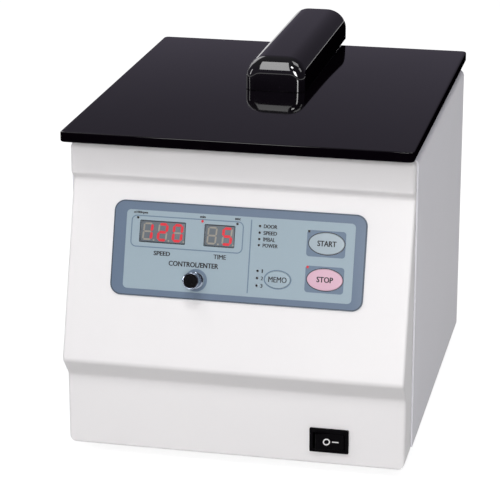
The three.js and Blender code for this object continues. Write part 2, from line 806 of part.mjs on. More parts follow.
function makeMotor() {
  motorPostPlaces.forEach(([x, y], i) => addPart(spindle, `motor_damper_${i + 1}`, 'rubber', turned([
    [0, damperZ], [damperRadius, damperZ], [damperRadius - 2 * embed, damperZ + damperHeight / 2],
    [damperRadius, damperZ + damperHeight], [0, damperZ + damperHeight],
  ], smallSteps, at(x, y, 0))));
  addPart(spindle, 'motor_plate', 'steel', prism('z', motorPlateZ, motorPlateZ + motorPlateThickness,
    circle(0, 0, postRingRadius + motorPlateMargin, roundSteps)));

  const pocket = bearingRadius + gap;
  const lowerPocketZ = motorBottomZ + motorWall;
  const lowerBellZ = lowerPocketZ + bearingHeight + gap;
  const upperPocketZ = motorTopZ - motorWall;
  const upperBellZ = upperPocketZ - bearingHeight - gap;
  const innerRadius = motorRadius - motorWall;
  addPart(spindle, 'motor_housing', 'aluminium', turned([
    [0, motorBottomZ], [motorRadius, motorBottomZ], [motorRadius, motorTopZ],
    [spindleRadius + 2 * gap, motorTopZ], [spindleRadius + 2 * gap, upperPocketZ], [pocket, upperPocketZ],
    [pocket, upperBellZ], [innerRadius, upperBellZ], [innerRadius, lowerBellZ],
    [pocket, lowerBellZ], [pocket, lowerPocketZ], [0, lowerPocketZ],
  ], innerSteps));
  for (const [name, z] of [
    ['bearing_lower', lowerPocketZ + gap],
    ['bearing_upper', upperPocketZ - gap - bearingHeight],
  ]) {
    addPart(spindle, name, 'steel', tube(
      spindleRadius + gap, bearingRadius, z, z + bearingHeight, innerSteps));
  }
  const statorInner = innerRadius - gap - statorWall;
  const coreBottomZ = lowerBellZ + windingMargin;
  const coreTopZ = upperBellZ - windingMargin;
  addPart(spindle, 'motor_stator', 'copper', tube(
    statorInner, innerRadius - gap, coreBottomZ, coreTopZ, innerSteps));
  addPart(spindle, 'motor_armature', 'steel', tube(
    spindleRadius + gap, statorInner - armatureGap, coreBottomZ, coreTopZ, innerSteps));

  const seatZ = hubBottomZ - gap;
  const shoulder = rimHeight + gap + rotorCoverThickness + rotorCoverBossRise + gap;
  const studTopZ = trayZ + shoulder + rotorKnobHeight - rotorKnobTop - 2 * gap;
  addPart(spindle, 'rotor_spindle', 'steel', turned([
    [0, lowerPocketZ + gap], [spindleRadius, lowerPocketZ + gap],
    [spindleRadius, seatZ - spindleSeatHeight], [spindleSeatRadius, seatZ - spindleSeatHeight],
    [spindleSeatRadius, seatZ], [spindleRadius, seatZ],
    [spindleRadius, trayZ], [studRadius, trayZ + (spindleRadius - studRadius)],
    [studRadius, studTopZ], [0, studTopZ],
  ], innerSteps));
}

function makeRotor() {
  const rimInner = rotorRadius - rimWidth;
  const bottom = trayZ - rotorThickness;
  const bore = spindleRadius + gap;
  const disc = turned([
    [bore, hubBottomZ], [hubRadius, hubBottomZ], [hubRadius, bottom],
    [rotorRadius - rotorThickness, bottom], [rotorRadius, trayZ - rimWidth],
    [rotorRadius, trayZ + rimHeight], [rimInner, trayZ + rimHeight], [rimInner, trayZ], [bore, trayZ],
  ], 2 * tubeCount);
  const slotStart = hubRadius + tubeSlotSetback;
  const slotEnd = rimInner - gap - sealWidth;
  const slots = [];
  for (let i = 0; i < tubeCount; i += 1) {
    const turn = new THREE.Matrix4().makeRotationZ(2 * Math.PI * i / tubeCount);
    slots.push(block(slotStart, slotEnd, -tubeSlotWidth / 2, tubeSlotWidth / 2,
      trayZ - tubeSlotDepth, trayZ + overrun, turn));
  }
  addPart(spindle, 'rotor_plate', 'aluminium', cut(disc, ...slots));
  addPart(spindle, 'rotor_seal', 'rubber', tube(
    rimInner - gap - sealWidth, rimInner - gap, trayZ + gap, trayZ + rimHeight - gap, 2 * tubeCount));

  const coverZ = trayZ + rimHeight + gap;
  const coverTopZ = coverZ + rotorCoverThickness;
  const bossZ = coverTopZ + rotorCoverBossRise;
  addPart(spindle, 'rotor_cover', 'aluminium', turned([
    [studRadius + 2 * gap, coverZ], [rotorRadius, coverZ], [rotorRadius, coverTopZ],
    [rotorCoverBossRadius, coverTopZ], [rotorCoverBossRadius - rotorCoverBossRise, bossZ],
    [studRadius + 2 * gap, bossZ],
  ]));
  const knobZ = bossZ + gap;
  const knobTopZ = knobZ + rotorKnobHeight;
  const knob = turned([
    [studRadius + gap, knobZ], [rotorKnobRadius, knobZ], [rotorKnobRadius, knobTopZ - rotorKnobChamfer],
    [rotorKnobRadius - rotorKnobChamfer, knobTopZ], [studRadius + gap, knobTopZ],
  ]);
  const lidOfBore = prism('z', knobTopZ - rotorKnobTop, knobTopZ, circle(0, 0, studRadius + 2 * embed));
  const flutes = [];
  for (let i = 0; i < rotorKnobFlutes; i += 1) {
    const angle = 2 * Math.PI * i / rotorKnobFlutes;
    const reach = rotorKnobRadius + fluteRadius / 2;
    flutes.push(prism('z', knobZ - overrun, knobTopZ + overrun,
      circle(reach * Math.cos(angle), reach * Math.sin(angle), fluteRadius, holeSteps)));
  }
  addPart(spindle, 'rotor_knob', 'blackPlastic', cut(join(knob, lidOfBore), ...flutes));
}

function makeLid() {
  const half = lidWidth / 2;
  const plate = prism('z', lidBottomZ, lidTopZ,
    roundedRectangle(-half, half, 0, lidDepth, lidCornerRadius));
  const strikerScrews = [-1, 1].map((side) => [side * strikerFootWidth / 3, strikerSetback]);
  const holes = [
    ...lidScrewPlaces.map(([x, y]) => prism('z', lidBottomZ - overrun, lidTopZ + overrun,
      circle(x, y, screwRadius + gap, holeSteps))),
    ...strikerScrews.map(([x, y]) => prism('z', lidBottomZ - overrun, lidBottomZ + strikerScrewDepth,
      screwHole(x, y))),
  ];
  addPart(machine, 'lid_plate', 'blackGloss', cut(plate, ...holes));

  const handleZ = lidTopZ + gap;
  const handleTopZ = handleZ + handleHeight - gap;
  const x = handleWidth / 2;
  const bar = meet(
    prism('y', handleFrontY, handleRearY, rounded([
      [-x, handleZ], [x, handleZ], [x, handleTopZ, handleTopRadius], [-x, handleTopZ, handleTopRadius],
    ])),
    prism('x', -x, x, rounded([
      [handleFrontY, handleZ], [handleRearY, handleZ],
      [handleRearY, handleTopZ, handleEndRadius], [handleFrontY, handleTopZ, handleEndRadius],
    ])),
    prism('z', handleZ, handleTopZ, roundedRectangle(-x, x, handleFrontY, handleRearY, handleSideRadius)),
  );
  const hollow = cut(
    prism('y', handleFrontY + 2 * handleWall, lidDepth - 2 * handleWall, rounded([
      [handleWall - x, handleZ - overrun], [x - handleWall, handleZ - overrun],
      [x - handleWall, handleTopZ - handleWall, handleTopRadius - handleWall],
      [handleWall - x, handleTopZ - handleWall, handleTopRadius - handleWall],
    ])),
    ...lidScrewPlaces.map(([sx, sy]) => prism(
      'z', handleZ - 2 * overrun, handleTopZ, circle(sx, sy, handleBossRadius, holeSteps))),
  );
  const screwHoles = [
    ...lidScrewPlaces.map(([sx, sy]) => prism('z', handleZ - overrun, handleZ + lidScrewLength,
      circle(sx, sy, screwRadius + gap, holeSteps))),
    ...[-1, 1].map((side) => prism('z', handleZ - overrun, handleZ + armScrewDepth,
      screwHole(side * armScrewX, armScrewY))),
  ];
  addPart(machine, 'lid_handle', 'blackGloss', cut(bar, hollow, ...screwHoles));

  const linerTopZ = lidBottomZ - gap;
  const linerZ = linerTopZ - linerThickness;
  const liner = prism('z', linerZ, linerTopZ, circle(0, rotorAxisSetback, linerRadius, roundSteps));
  addPart(machine, 'lid_liner', 'stainless', cut(liner, ...lidScrewPlaces.map(([sx, sy]) => prism(
    'z', linerZ - overrun, linerTopZ + overrun, circle(sx, sy, screwRadius + gap, holeSteps)))));

  const armTopZ = handleZ - gap;
  const armZ = armTopZ - armThickness;
  const knuckleHalf = knuckleWidth / 2;
  const arm = join(
    block(-knuckleHalf, knuckleHalf, lidDepth + 2 * gap, handleRearY - armThickness, armZ, armTopZ),
    block(-knuckleHalf, knuckleHalf, hingeY - armNeck / 2, hingeY + armNeck / 2, hingeZ, armZ + embed),
    prism('x', -knuckleHalf, knuckleHalf, circle(hingeY, hingeZ, knuckleRadius)),
  );
  const armHoles = [-1, 1].map((side) => prism('z', armZ - overrun, armTopZ + overrun,
    screwHole(side * armScrewX, armScrewY)));
  const bore = prism('x', -knuckleHalf - overrun, knuckleHalf + overrun,
    circle(hingeY, hingeZ, hingePinRadius + gap));
  addPart(machine, 'lid_arm', 'steel', cut(arm, ...armHoles, bore));

  const footZ = lidBottomZ - gap - strikerFootThickness;
  const windowZ = deckZ - strikerReach + strikerWindowRise;
  const strikerY0 = strikerSetback - strikerWidth / 2;
  const strikerY1 = strikerSetback + strikerWidth / 2;
  const striker = cut(
    join(
      block(-strikerFootWidth / 2, strikerFootWidth / 2, strikerY0, strikerY1, footZ, lidBottomZ - gap),
      block(-strikerThickness / 2, strikerThickness / 2, strikerY0, strikerY1,
        deckZ - strikerReach, footZ + strikerFootThickness / 2),
    ),
    block(-strikerThickness, strikerThickness, strikerSetback - strikerWindowWidth / 2,
      strikerSetback + strikerWindowWidth / 2, windowZ, windowZ + strikerWindowHeight),
    ...strikerScrews.map(([sx, sy]) => prism('z', footZ - overrun, lidBottomZ, screwHole(sx, sy))),
  );
  addPart(machine, 'lid_striker', 'steel', striker);

  const names = ['lid_screw_front', 'lid_screw_rear'];
  lidScrewPlaces.forEach(([sx, sy], i) => {
    addPart(machine, names[i], 'steel', screw(sx, sy, linerZ - gap - screwHeadHeight));
  });
}

function makeHinge() {
  const leafY = rearY + gap;
  const leafBottomZ = leafTopZ - leafHeight;
  const leaf = block(-leafWidth / 2, leafWidth / 2, leafY, leafY + leafThickness, leafBottomZ, leafTopZ);
  const ears = [-1, 1].map((side) => {
    const inner = side * (knuckleWidth / 2 + 2 * gap);
    const outer = side * (knuckleWidth / 2 + 2 * gap + earThickness);
    return prism('x', Math.min(inner, outer), Math.max(inner, outer), [
      [leafY, leafBottomZ],
      ...arc(hingeY, hingeZ, earRadius, -Math.PI / 3, Math.PI * 2 / 3, 2 * filletSteps),
      [leafY, leafTopZ],
    ]);
  });
  const holes = leafScrewPlaces.map(([x, z]) => prism(
    'y', leafY - overrun, leafY + leafThickness + overrun, screwHole(x, z)));
  const pinHole = prism('x', -leafWidth, leafWidth, circle(hingeY, hingeZ, hingePinRadius + gap));
  addPart(machine, 'hinge_bracket', 'steel', cut(join(leaf, ...ears), ...holes, pinHole));

  const pinEnd = knuckleWidth / 2 + 3 * gap + earThickness;
  addPart(machine, 'hinge_pin', 'steel', join(
    prism('x', -pinEnd - embed, pinEnd + embed, circle(hingeY, hingeZ, hingePinRadius)),
    prism('x', pinEnd, pinEnd + hingePinHead, circle(hingeY, hingeZ, hingePinHeadRadius)),
    prism('x', -pinEnd - hingePinHead, -pinEnd, circle(hingeY, hingeZ, hingePinHeadRadius)),
  ));
}

function makeLock() {
  const plateTopZ = deckUnderZ - gap;
  const plateZ = plateTopZ - lockPlateThickness;
  const slotX = strikerThickness / 2 + strikerSlotMargin;
  const slotY = strikerWidth / 2 + strikerSlotMargin;
  const plateX0 = lockPlateOffset - lockPlateWidth / 2;
  const plateY0 = strikerSetback - lockPlateDepth / 2;
  addPart(machine, 'lock_bracket', 'steel', cut(
    block(plateX0, plateX0 + lockPlateWidth, plateY0, plateY0 + lockPlateDepth, plateZ, plateTopZ),
    block(-slotX, slotX, strikerSetback - slotY, strikerSetback + slotY,
      plateZ - overrun, plateTopZ + overrun),
  ));
  const boltZ = deckZ - strikerReach + strikerWindowRise + strikerWindowHeight / 2;
  const boltX = strikerThickness / 2 + boltStandoff;
  const caseTopZ = plateZ - gap;
  addPart(machine, 'lock_solenoid', 'blackPlastic', cut(
    block(solenoidStandoff, solenoidStandoff + solenoidLength,
      strikerSetback - solenoidWidth / 2, strikerSetback + solenoidWidth / 2,
      caseTopZ - solenoidHeight, caseTopZ),
    prism('x', solenoidStandoff - overrun, boltX + boltLength + overrun,
      circle(strikerSetback, boltZ, boltRadius + gap)),
  ));
  addPart(machine, 'lock_bolt', 'chrome', prism('x', boltX, boltX + boltLength,
    circle(strikerSetback, boltZ, boltRadius)));
  addPart(machine, 'lid_switch', 'blackPlastic', block(
    -solenoidStandoff - lidSwitchLength, -solenoidStandoff,
    strikerSetback - lidSwitchDepth / 2, strikerSetback + lidSwitchDepth / 2,
    caseTopZ - lidSwitchHeight, caseTopZ));
}

function makePanel() {
  const half = panelWidth / 2;
  const top = gap + panelThickness;
  const keys = [
    ['start_key', 'startKey', startKeyShares, keyRadiusX, keyRadiusY],
    ['stop_key', 'stopKey', stopKeyShares, keyRadiusX, keyRadiusY],
    ['memo_key', 'startKey', memoKeyShares, memoRadiusX, memoRadiusY],
  ];
  const windows = [
    ['speed_display', speedWindowShares, speedWindowWidth],
    ['time_display', timeWindowShares, timeWindowWidth],
  ];
  const sheet = prism('z', gap, top, roundedRectangle(
    -half, half, panelMiddle - panelHeight / 2, panelMiddle + panelHeight / 2, panelCornerRadius));
  const openings = [
    ...windows.map(([, shares, width]) => {
      const [x, y] = panelPlace(shares);
      return rectangle(x - width / 2, x + width / 2, y - windowHeight / 2, y + windowHeight / 2);
    }),
    ...keys.map(([, , shares, radiusX, radiusY]) => ellipse(
      ...panelPlace(shares), radiusX + gap, radiusY + gap, 2 * smallSteps)),
    circle(...panelPlace(knobShares), encoderBushRadius + gap),
  ].map((outline) => prism('z', gap - overrun, top + overrun, outline));
  addPart(incline, 'membrane_panel', 'panelBlue', cut(sheet, ...openings));

  const boardFront = -boardDepth;
  const switchFront = boardFront + gap + switchHeight;
  for (const [name, finish, shares, radiusX, radiusY] of keys) {
    const [x, y] = panelPlace(shares);
    const capBottom = gap + keyTravel;
    addPart(incline, name, finish, join(
      prism('z', capBottom, capBottom + keyThickness, ellipse(x, y, radiusX, radiusY, 2 * smallSteps)),
      prism('z', switchFront + gap + keyTravel, capBottom + keyThickness / 2, circle(x, y, keyStemRadius)),
    ));
  }
  for (const [name, shares, width] of windows) {
    const [x, y] = panelPlace(shares);
    addPart(incline, name, 'display', block(
      x - width / 2 + gap, x + width / 2 - gap, y - windowHeight / 2 + gap, y + windowHeight / 2 - gap,
      boardFront + gap, top - gap));
  }

  const [encoderX, encoderY] = panelPlace(knobShares);
  const board = join(
    block(-boardWidth / 2, boardWidth / 2, panelMiddle - boardHeight / 2, panelMiddle + boardHeight / 2,
      boardFront - boardThickness, boardFront),
    ...keys.map(([, , shares]) => {
      const [x, y] = panelPlace(shares);
      return block(x - switchSide / 2, x + switchSide / 2, y - switchSide / 2, y + switchSide / 2,
        boardFront - embed, switchFront);
    }),
  );
  addPart(incline, 'control_board', 'board', board);

  const caseZ = boardFront + gap;
  const boreZ = caseZ + encoderFloor;
  const plungerZ = boreZ + gap + plungerTravel;
  const shaftZ = plungerZ + plungerHeight + gap;
  const encoderHalf = encoderWidth / 2;
  addPart(incline, 'encoder_body', 'steel', cut(
    join(
      block(encoderX - encoderHalf, encoderX + encoderHalf,
        encoderY - encoderHalf, encoderY + encoderHalf, caseZ, -coverWall - gap),
      prism('z', -coverWall - embed, encoderBushReach, circle(encoderX, encoderY, encoderBushRadius)),
    ),
    prism('z', boreZ, encoderBushReach + overrun, circle(encoderX, encoderY, encoderShaftRadius + gap)),
  ));
  addPart(incline, 'encoder_plunger', 'steel', prism(
    'z', plungerZ, plungerZ + plungerHeight, circle(encoderX, encoderY, encoderShaftRadius)));
  const knobFront = top + knobReach;
  const onKnob = at(encoderX, encoderY, 0);
  const shaftTop = knobFront - knobFaceWall - gap;
  addPart(incline, 'knob_shaft', 'steel', prism(
    'z', shaftZ, shaftTop, circle(encoderX, encoderY, encoderShaftRadius - gap / 2)));
  addPart(incline, 'control_knob', 'chrome', turned([
    [0, knobFront], [knobRimRadius - gap, knobFront], [knobRimRadius, knobFront - gap],
    [knobRimRadius, knobFront - knobRimHeight], [knobRadius, knobFront - knobRimHeight - overrun],
    [knobRadius, encoderBushReach + 2 * gap + keyTravel + overrun],
    [knobRadius + embed, encoderBushReach + 2 * gap + keyTravel],
    [knobRadius + embed, encoderBushReach + gap + keyTravel],
    [encoderShaftRadius + gap / 2, encoderBushReach + gap + keyTravel],
    [encoderShaftRadius + gap / 2, shaftTop + gap], [0, shaftTop + gap],
  ], roundSteps / 2, onKnob));
}

function makeRocker() {
  const z = coverBottomZ + rockerCentreRise;
  const x = rockerCentreX;
  const wellHalf = rockerWidth / 2 + rockerWellMargin;
  const faceY = -gap - bezelThickness;
  const pivotY = faceY + rockerPivotDepth;
  const body = join(
    block(x - bezelWidth / 2, x + bezelWidth / 2, faceY, -gap, z - bezelHeight / 2, z + bezelHeight / 2),
    block(x - switchBodyWidth / 2, x + switchBodyWidth / 2, -gap - bezelThickness / 2, switchBodyDepth,
      z - switchBodyHeight / 2, z + switchBodyHeight / 2),
    ...[-1, 0, 1].map((i) => {
      const middle = x + i * switchBodyWidth / 3;
      return block(middle - terminalThickness / 2, middle + terminalThickness / 2,
        switchBodyDepth - embed, switchBodyDepth + terminalLength,
        z - terminalWidth / 2, z + terminalWidth / 2);
    }),
  );
  const well = block(
    x - wellHalf, x + wellHalf, faceY - overrun, pivotY + rockerBackReach + 2 * rockerWellMargin,
    z - rockerHeight / 2 - gap, z + rockerHeight / 2 + gap);
  addPart(machine, 'power_switch_body', 'blackPlastic', cut(body, well));

  const tilt = THREE.MathUtils.degToRad(rockerTiltDegrees);
  const half = rockerWidth / 2;
  const middle = -rockerPivotDepth - rockerProud;
  const end = middle - half * Math.tan(tilt);
  const pressed = at(x, pivotY, z).multiply(new THREE.Matrix4().makeRotationZ(tilt));
  addPart(machine, 'power_rocker', 'blackPlastic', prism('z', -rockerHeight / 2, rockerHeight / 2, [
    [-half, end], [0, middle], [half, end],
    [half, -overrun], [half / 2, rockerBackReach], [-half / 2, rockerBackReach], [-half, -overrun],
  ], pressed));
}

function makeRear() {
  const panelBackY = rearPanelY + rearPanelThickness;
  const half = rearPanelWidth / 2;
  const openings = [
    circle(fanX, fanZ, fanBoreRadius, 2 * smallSteps),
    rectangle(inletX - inletBodyWidth / 2 - gap, inletX + inletBodyWidth / 2 + gap,
      inletZ - inletBodyHeight / 2 - gap, inletZ + inletBodyHeight / 2 + gap),
    ...[...panelScrewPlaces, ...fanScrewPlaces].map(([x, z]) => screwHole(x, z)),
  ];
  for (let i = 0; i < ventCount; i += 1) {
    const x = ventX + (i - (ventCount - 1) / 2) * ventPitch;
    openings.push(rectangle(
      x - ventWidth / 2, x + ventWidth / 2, ventZ - ventHeight / 2, ventZ + ventHeight / 2));
  }
  addPart(machine, 'rear_panel', 'greyPaint', cut(
    block(-half, half, rearPanelY, panelBackY, rearPanelZ, rearPanelZ + rearPanelHeight),
    ...openings.map((outline) => prism('y', rearPanelY - overrun, panelBackY + overrun, outline)),
  ));

  const fanBackY = rearPanelY - gap;
  const fanFrontY = fanBackY - fanDepth;
  const side = fanSide / 2;
  const frame = cut(
    prism('y', fanFrontY, fanBackY, roundedRectangle(
      fanX - side, fanX + side, fanZ - side, fanZ + side, fanCornerRadius)),
    prism('y', fanFrontY - overrun, fanBackY + overrun,
      circle(fanX, fanZ, fanBoreRadius, 2 * smallSteps)),
    ...fanScrewPlaces.map(([x, z]) => prism('y', fanFrontY - overrun, fanBackY + overrun,
      screwHole(x, z))),
  );
  const strutHalf = fanStrutWidth / 2;
  const reach = fanBoreRadius + embed;
  const strutBackY = fanFrontY + fanStrutDepth;
  addPart(machine, 'fan_frame', 'blackPlastic', join(
    frame,
    block(fanX - reach, fanX + reach, fanFrontY, strutBackY, fanZ - strutHalf, fanZ + strutHalf),
    block(fanX - strutHalf, fanX + strutHalf, fanFrontY, strutBackY, fanZ - reach, fanZ + reach),
    prism('y', fanFrontY, strutBackY, circle(fanX, fanZ, fanHubRadius)),
  ));

  const hubY = strutBackY + gap;
  const bladeDepth = fanBackY - 2 * gap - hubY;
  const onFan = at(fanX, hubY + bladeDepth / 2, fanZ);
  const blades = [];
  for (let i = 0; i < fanBladeCount; i += 1) {
    const turn = new THREE.Matrix4().makeRotationY(2 * Math.PI * i / fanBladeCount);
    const pitch = new THREE.Matrix4().makeRotationX(THREE.MathUtils.degToRad(fanBladePitchDegrees));
    const chord = bladeDepth / 2 - overrun;
    blades.push(block(fanHubRadius - 2 * embed, fanBoreRadius - fanTipGap, -chord, chord,
      -fanBladeThickness / 2, fanBladeThickness / 2, onFan.clone().multiply(turn).multiply(pitch)));
  }
  addPart(machine, 'fan_rotor', 'blackPlastic', join(
    prism('y', hubY, hubY + bladeDepth, circle(fanX, fanZ, fanHubRadius, 2 * smallSteps)), ...blades));

  const guardY = panelBackY + gap + guardWire / 2;
  const wire = guardWire / 2;
  const rings = [];
  for (let i = 1; i <= guardRingCount; i += 1) {
    const radius = (fanBoreRadius + guardWire) * i / guardRingCount;
    const ring = new THREE.TorusGeometry(radius, wire, wireSides, ringSteps);
    ring.rotateX(Math.PI / 2);
    rings.push(solid(ring, at(fanX, guardY, fanZ)));
  }
  const ends = fanScrewPlaces.map(([x, z]) => prism('y', guardY - wire, guardY + wire,
    circle(x, z, smallHeadRadius + wire, holeSteps)));
  const spokes = [-1, 1].map((way) => {
    const diagonal = Math.hypot(side - fanCornerRadius, side - fanCornerRadius);
    const matrix = at(fanX, guardY, fanZ).multiply(new THREE.Matrix4().makeRotationY(way * Math.PI / 4));
    return block(-diagonal, diagonal, -wire, wire, -wire, wire, matrix);
  });
  const guardHoles = fanScrewPlaces.map(([x, z]) => prism('y', guardY - guardWire, guardY + guardWire,
    screwHole(x, z)));
  addPart(machine, 'fan_guard', 'chrome', cut(join(...rings, ...ends, ...spokes), ...guardHoles));

  makeInlet(panelBackY + gap);
}

// The mains inlet, whose flange lies against the rear panel at flangeY
function makeInlet(flangeY) {
  const mouthY = flangeY + inletFlangeThickness;
  const mouthX = inletMouthWidth / 2;
  const mouthZ = inletMouthHeight / 2;
  const bodyX = inletBodyWidth / 2;
  const bodyZ = inletBodyHeight / 2;
  const pinPlaces = [-1, 0, 1].map((i) => inletX + i * inletPinSpacing);
  const pinX = inletPinThickness / 2;
  const pinZ = inletPinWidth / 2;
  const flange = roundedRectangle(inletX - inletFlangeWidth / 2, inletX + inletFlangeWidth / 2,
    inletZ - inletFlangeHeight / 2, inletZ + inletFlangeHeight / 2, inletCornerRadius);
  const mouth = rounded([
    [inletX - mouthX, inletZ - mouthZ], [inletX + mouthX, inletZ - mouthZ],
    [inletX + mouthX, inletZ + mouthZ, inletCornerRadius],
    [inletX - mouthX, inletZ + mouthZ, inletCornerRadius],
  ]);
  addPart(machine, 'mains_inlet', 'blackPlastic', cut(
    join(
      prism('y', flangeY, mouthY, flange),
      block(inletX - bodyX, inletX + bodyX, mouthY - inletBodyDepth, mouthY - embed,
        inletZ - bodyZ, inletZ + bodyZ),
    ),
    prism('y', mouthY - inletMouthDepth, mouthY + overrun, mouth),
    ...pinPlaces.map((x) => block(x - pinX - gap, x + pinX + gap,
      mouthY - inletBodyDepth - overrun, mouthY, inletZ - pinZ - gap, inletZ + pinZ + gap)),
  ));
  const carrierY = mouthY - inletBodyDepth - gap;
  addPart(machine, 'inlet_pins', 'steel', join(
    block(inletX - bodyX, inletX + bodyX, carrierY - inletCarrierThickness, carrierY,
      inletZ - inletPinWidth, inletZ + inletPinWidth),
    ...pinPlaces.map((x) => block(x - pinX, x + pinX, carrierY - inletPinTail, mouthY - inletPinSetback,
      inletZ - pinZ, inletZ + pinZ)),
  ));
}

function makeElectronics() {
  const boardTopZ = driveBoardZ + boardThickness;
  const inward = 2 * drivePostRadius;
  const middleX = (driveBoardX0 + driveBoardX1) / 2;
  const firstY = driveBoardSetback + 2 * inward + capacitorRadius;
  const capacitors = [firstY, firstY + 2 * capacitorRadius + inward].map((y) => prism(
    'z', boardTopZ - embed, boardTopZ + capacitorHeight, circle(middleX, y, capacitorRadius)));
  const sinkX = middleX - heatSinkWidth / 2;
  const sinkY = driveBoardY1 - 2 * inward - heatSinkLength;
  const finPitch = (heatSinkWidth - heatSinkFin) / (heatSinkFins - 1);
  const fins = [];
  for (let i = 0; i < heatSinkFins; i += 1) {
    const finX = sinkX + i * finPitch;
    fins.push(block(finX, finX + heatSinkFin, sinkY, sinkY + heatSinkLength,
      boardTopZ + heatSinkFin, boardTopZ + heatSinkHeight));
  }
  addPart(machine, 'drive_board', 'board', join(
    block(driveBoardX0, driveBoardX1, driveBoardSetback, driveBoardY1, driveBoardZ, boardTopZ),
    block(sinkX, sinkX + heatSinkWidth, sinkY, sinkY + heatSinkLength,
      boardTopZ - embed, boardTopZ + 2 * heatSinkFin),
    ...fins, ...capacitors));

  const x1 = -postRingRadius - postRadius;
  const x0 = transformerInset - bodyInnerX;
  const y0 = transformerSetback;
  const y1 = y0 + transformerLength;
  const z0 = baseTopZ + gap;
  const windowInset = transformerLength / 5;
  const core = block(x0 + coilMargin, x1 - coilMargin, y0, y1, z0, z0 + transformerHeight);
  const coil = block(x0, x1, y0 + windowInset, y1 - windowInset,
    z0 + transformerYokeHeight, z0 + transformerHeight - transformerYokeHeight);
  addPart(machine, 'transformer', 'steel', join(core, coil));

  const plateEdgeY = rotorAxisSetback - postRingRadius - motorPlateMargin;
  const leverY = plateEdgeY - imbalanceLeverGap;
  const switchY = leverY - imbalanceBodyDepth;
  const stemX = imbalanceStemWidth / 2;
  addPart(machine, 'imbalance_switch', 'steel', join(
    block(-stemX, stemX, switchY - imbalanceStemThickness, switchY, baseTopZ + gap,
      motorPlateZ + imbalanceBodyHeight / 2),
    block(-stemX, stemX, switchY - embed, leverY, motorPlateZ - imbalanceBodyHeight / 2,
      motorPlateZ + imbalanceBodyHeight / 2),
    block(-stemX, stemX, switchY - imbalanceStemThickness - embed, leverY, baseTopZ + gap,
      baseTopZ + gap + imbalanceStemThickness),
  ));
}

makeFrontCover();
makeBodyCover();
makeBase();
makeBowl();
makeMotor();
makeRotor();
makeLid();
makeHinge();
makeLock();
makePanel();
makeRocker();
makeRear();
makeElectronics();

// The origin is the middle of the whole machine's footprint, on the bench
machine.updateMatrixWorld(true);
const extent = new THREE.Box3().setFromObject(machine);
machine.position.set(0, -(extent.min.y + extent.max.y) / 2, 0);
machine.updateMatrixWorld(true);

export default machine;
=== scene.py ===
"""Bench-top hematocrit centrifuge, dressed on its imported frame.

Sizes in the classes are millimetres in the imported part's own frame: x to the right, y from the
control panel to the hinge, z up from the bench. What sits on the incline is given in the control
panel's own frame instead, PANEL. Meshes are written to Blender in metres.
"""

import json
import logging
import math
from dataclasses import dataclass, field
from enum import Enum
from functools import partial
from typing import Any, Callable, Iterable, Sequence

import bmesh
import bpy
from mathutils import Matrix, Vector

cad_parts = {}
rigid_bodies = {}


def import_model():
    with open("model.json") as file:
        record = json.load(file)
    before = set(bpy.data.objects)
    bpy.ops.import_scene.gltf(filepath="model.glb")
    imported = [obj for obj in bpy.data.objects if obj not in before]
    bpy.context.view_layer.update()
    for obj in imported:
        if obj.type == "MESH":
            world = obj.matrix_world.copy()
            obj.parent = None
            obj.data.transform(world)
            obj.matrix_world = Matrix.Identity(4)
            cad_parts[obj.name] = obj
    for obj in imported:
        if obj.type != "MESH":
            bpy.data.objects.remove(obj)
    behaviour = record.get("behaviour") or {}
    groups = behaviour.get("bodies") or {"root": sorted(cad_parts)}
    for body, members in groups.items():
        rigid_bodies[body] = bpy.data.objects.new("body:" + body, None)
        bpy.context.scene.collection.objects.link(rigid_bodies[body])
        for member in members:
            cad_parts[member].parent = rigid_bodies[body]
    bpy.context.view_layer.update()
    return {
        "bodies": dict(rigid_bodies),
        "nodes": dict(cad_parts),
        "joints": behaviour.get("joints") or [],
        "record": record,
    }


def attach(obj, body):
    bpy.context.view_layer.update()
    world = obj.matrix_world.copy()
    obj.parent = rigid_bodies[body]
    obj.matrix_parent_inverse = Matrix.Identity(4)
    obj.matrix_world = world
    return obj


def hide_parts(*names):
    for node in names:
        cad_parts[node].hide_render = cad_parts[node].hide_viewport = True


Span = tuple[float, float]
Point = tuple[float, float, float]
Sides = tuple[float, float, float, float]  # left, right, lower, upper
Colour = tuple[float, float, float, float]
Outline = list[Span]
Ring = list[Point]
Piece = bpy.types.Object
Tree = bpy.types.NodeTree
Node = bpy.types.Node
Socket = bpy.types.NodeSocket

LOG = logging.getLogger("centrifuge")
MM = 0.001
SMOOTH_ANGLE = math.radians(32)
BEVEL_ANGLE = math.radians(38)
FLAT_ANGLE = math.radians(0.5)
WELD_DISTANCE = 1e-6  # metres
LEAST_RADIUS = 0.02
AXIS_Y = 9.504
AXIS = Matrix.Translation((0.0, AXIS_Y, 0.0))  # the rotor's axis
LID_SCREWS = {"lid_screw_front": 45.2, "lid_screw_rear": 94.9}  # their places along y


# Outlines and frames


class Way(Enum):
    """The direction that a flat outline is drawn out in, where that isn't up."""

    BACK = Matrix(((1, 0, 0, 0), (0, 0, 1, 0), (0, 1, 0, 0), (0, 0, 0, 1)))
    ACROSS = Matrix(((0, 0, 1, 0), (1, 0, 0, 0), (0, 1, 0, 0), (0, 0, 0, 1)))


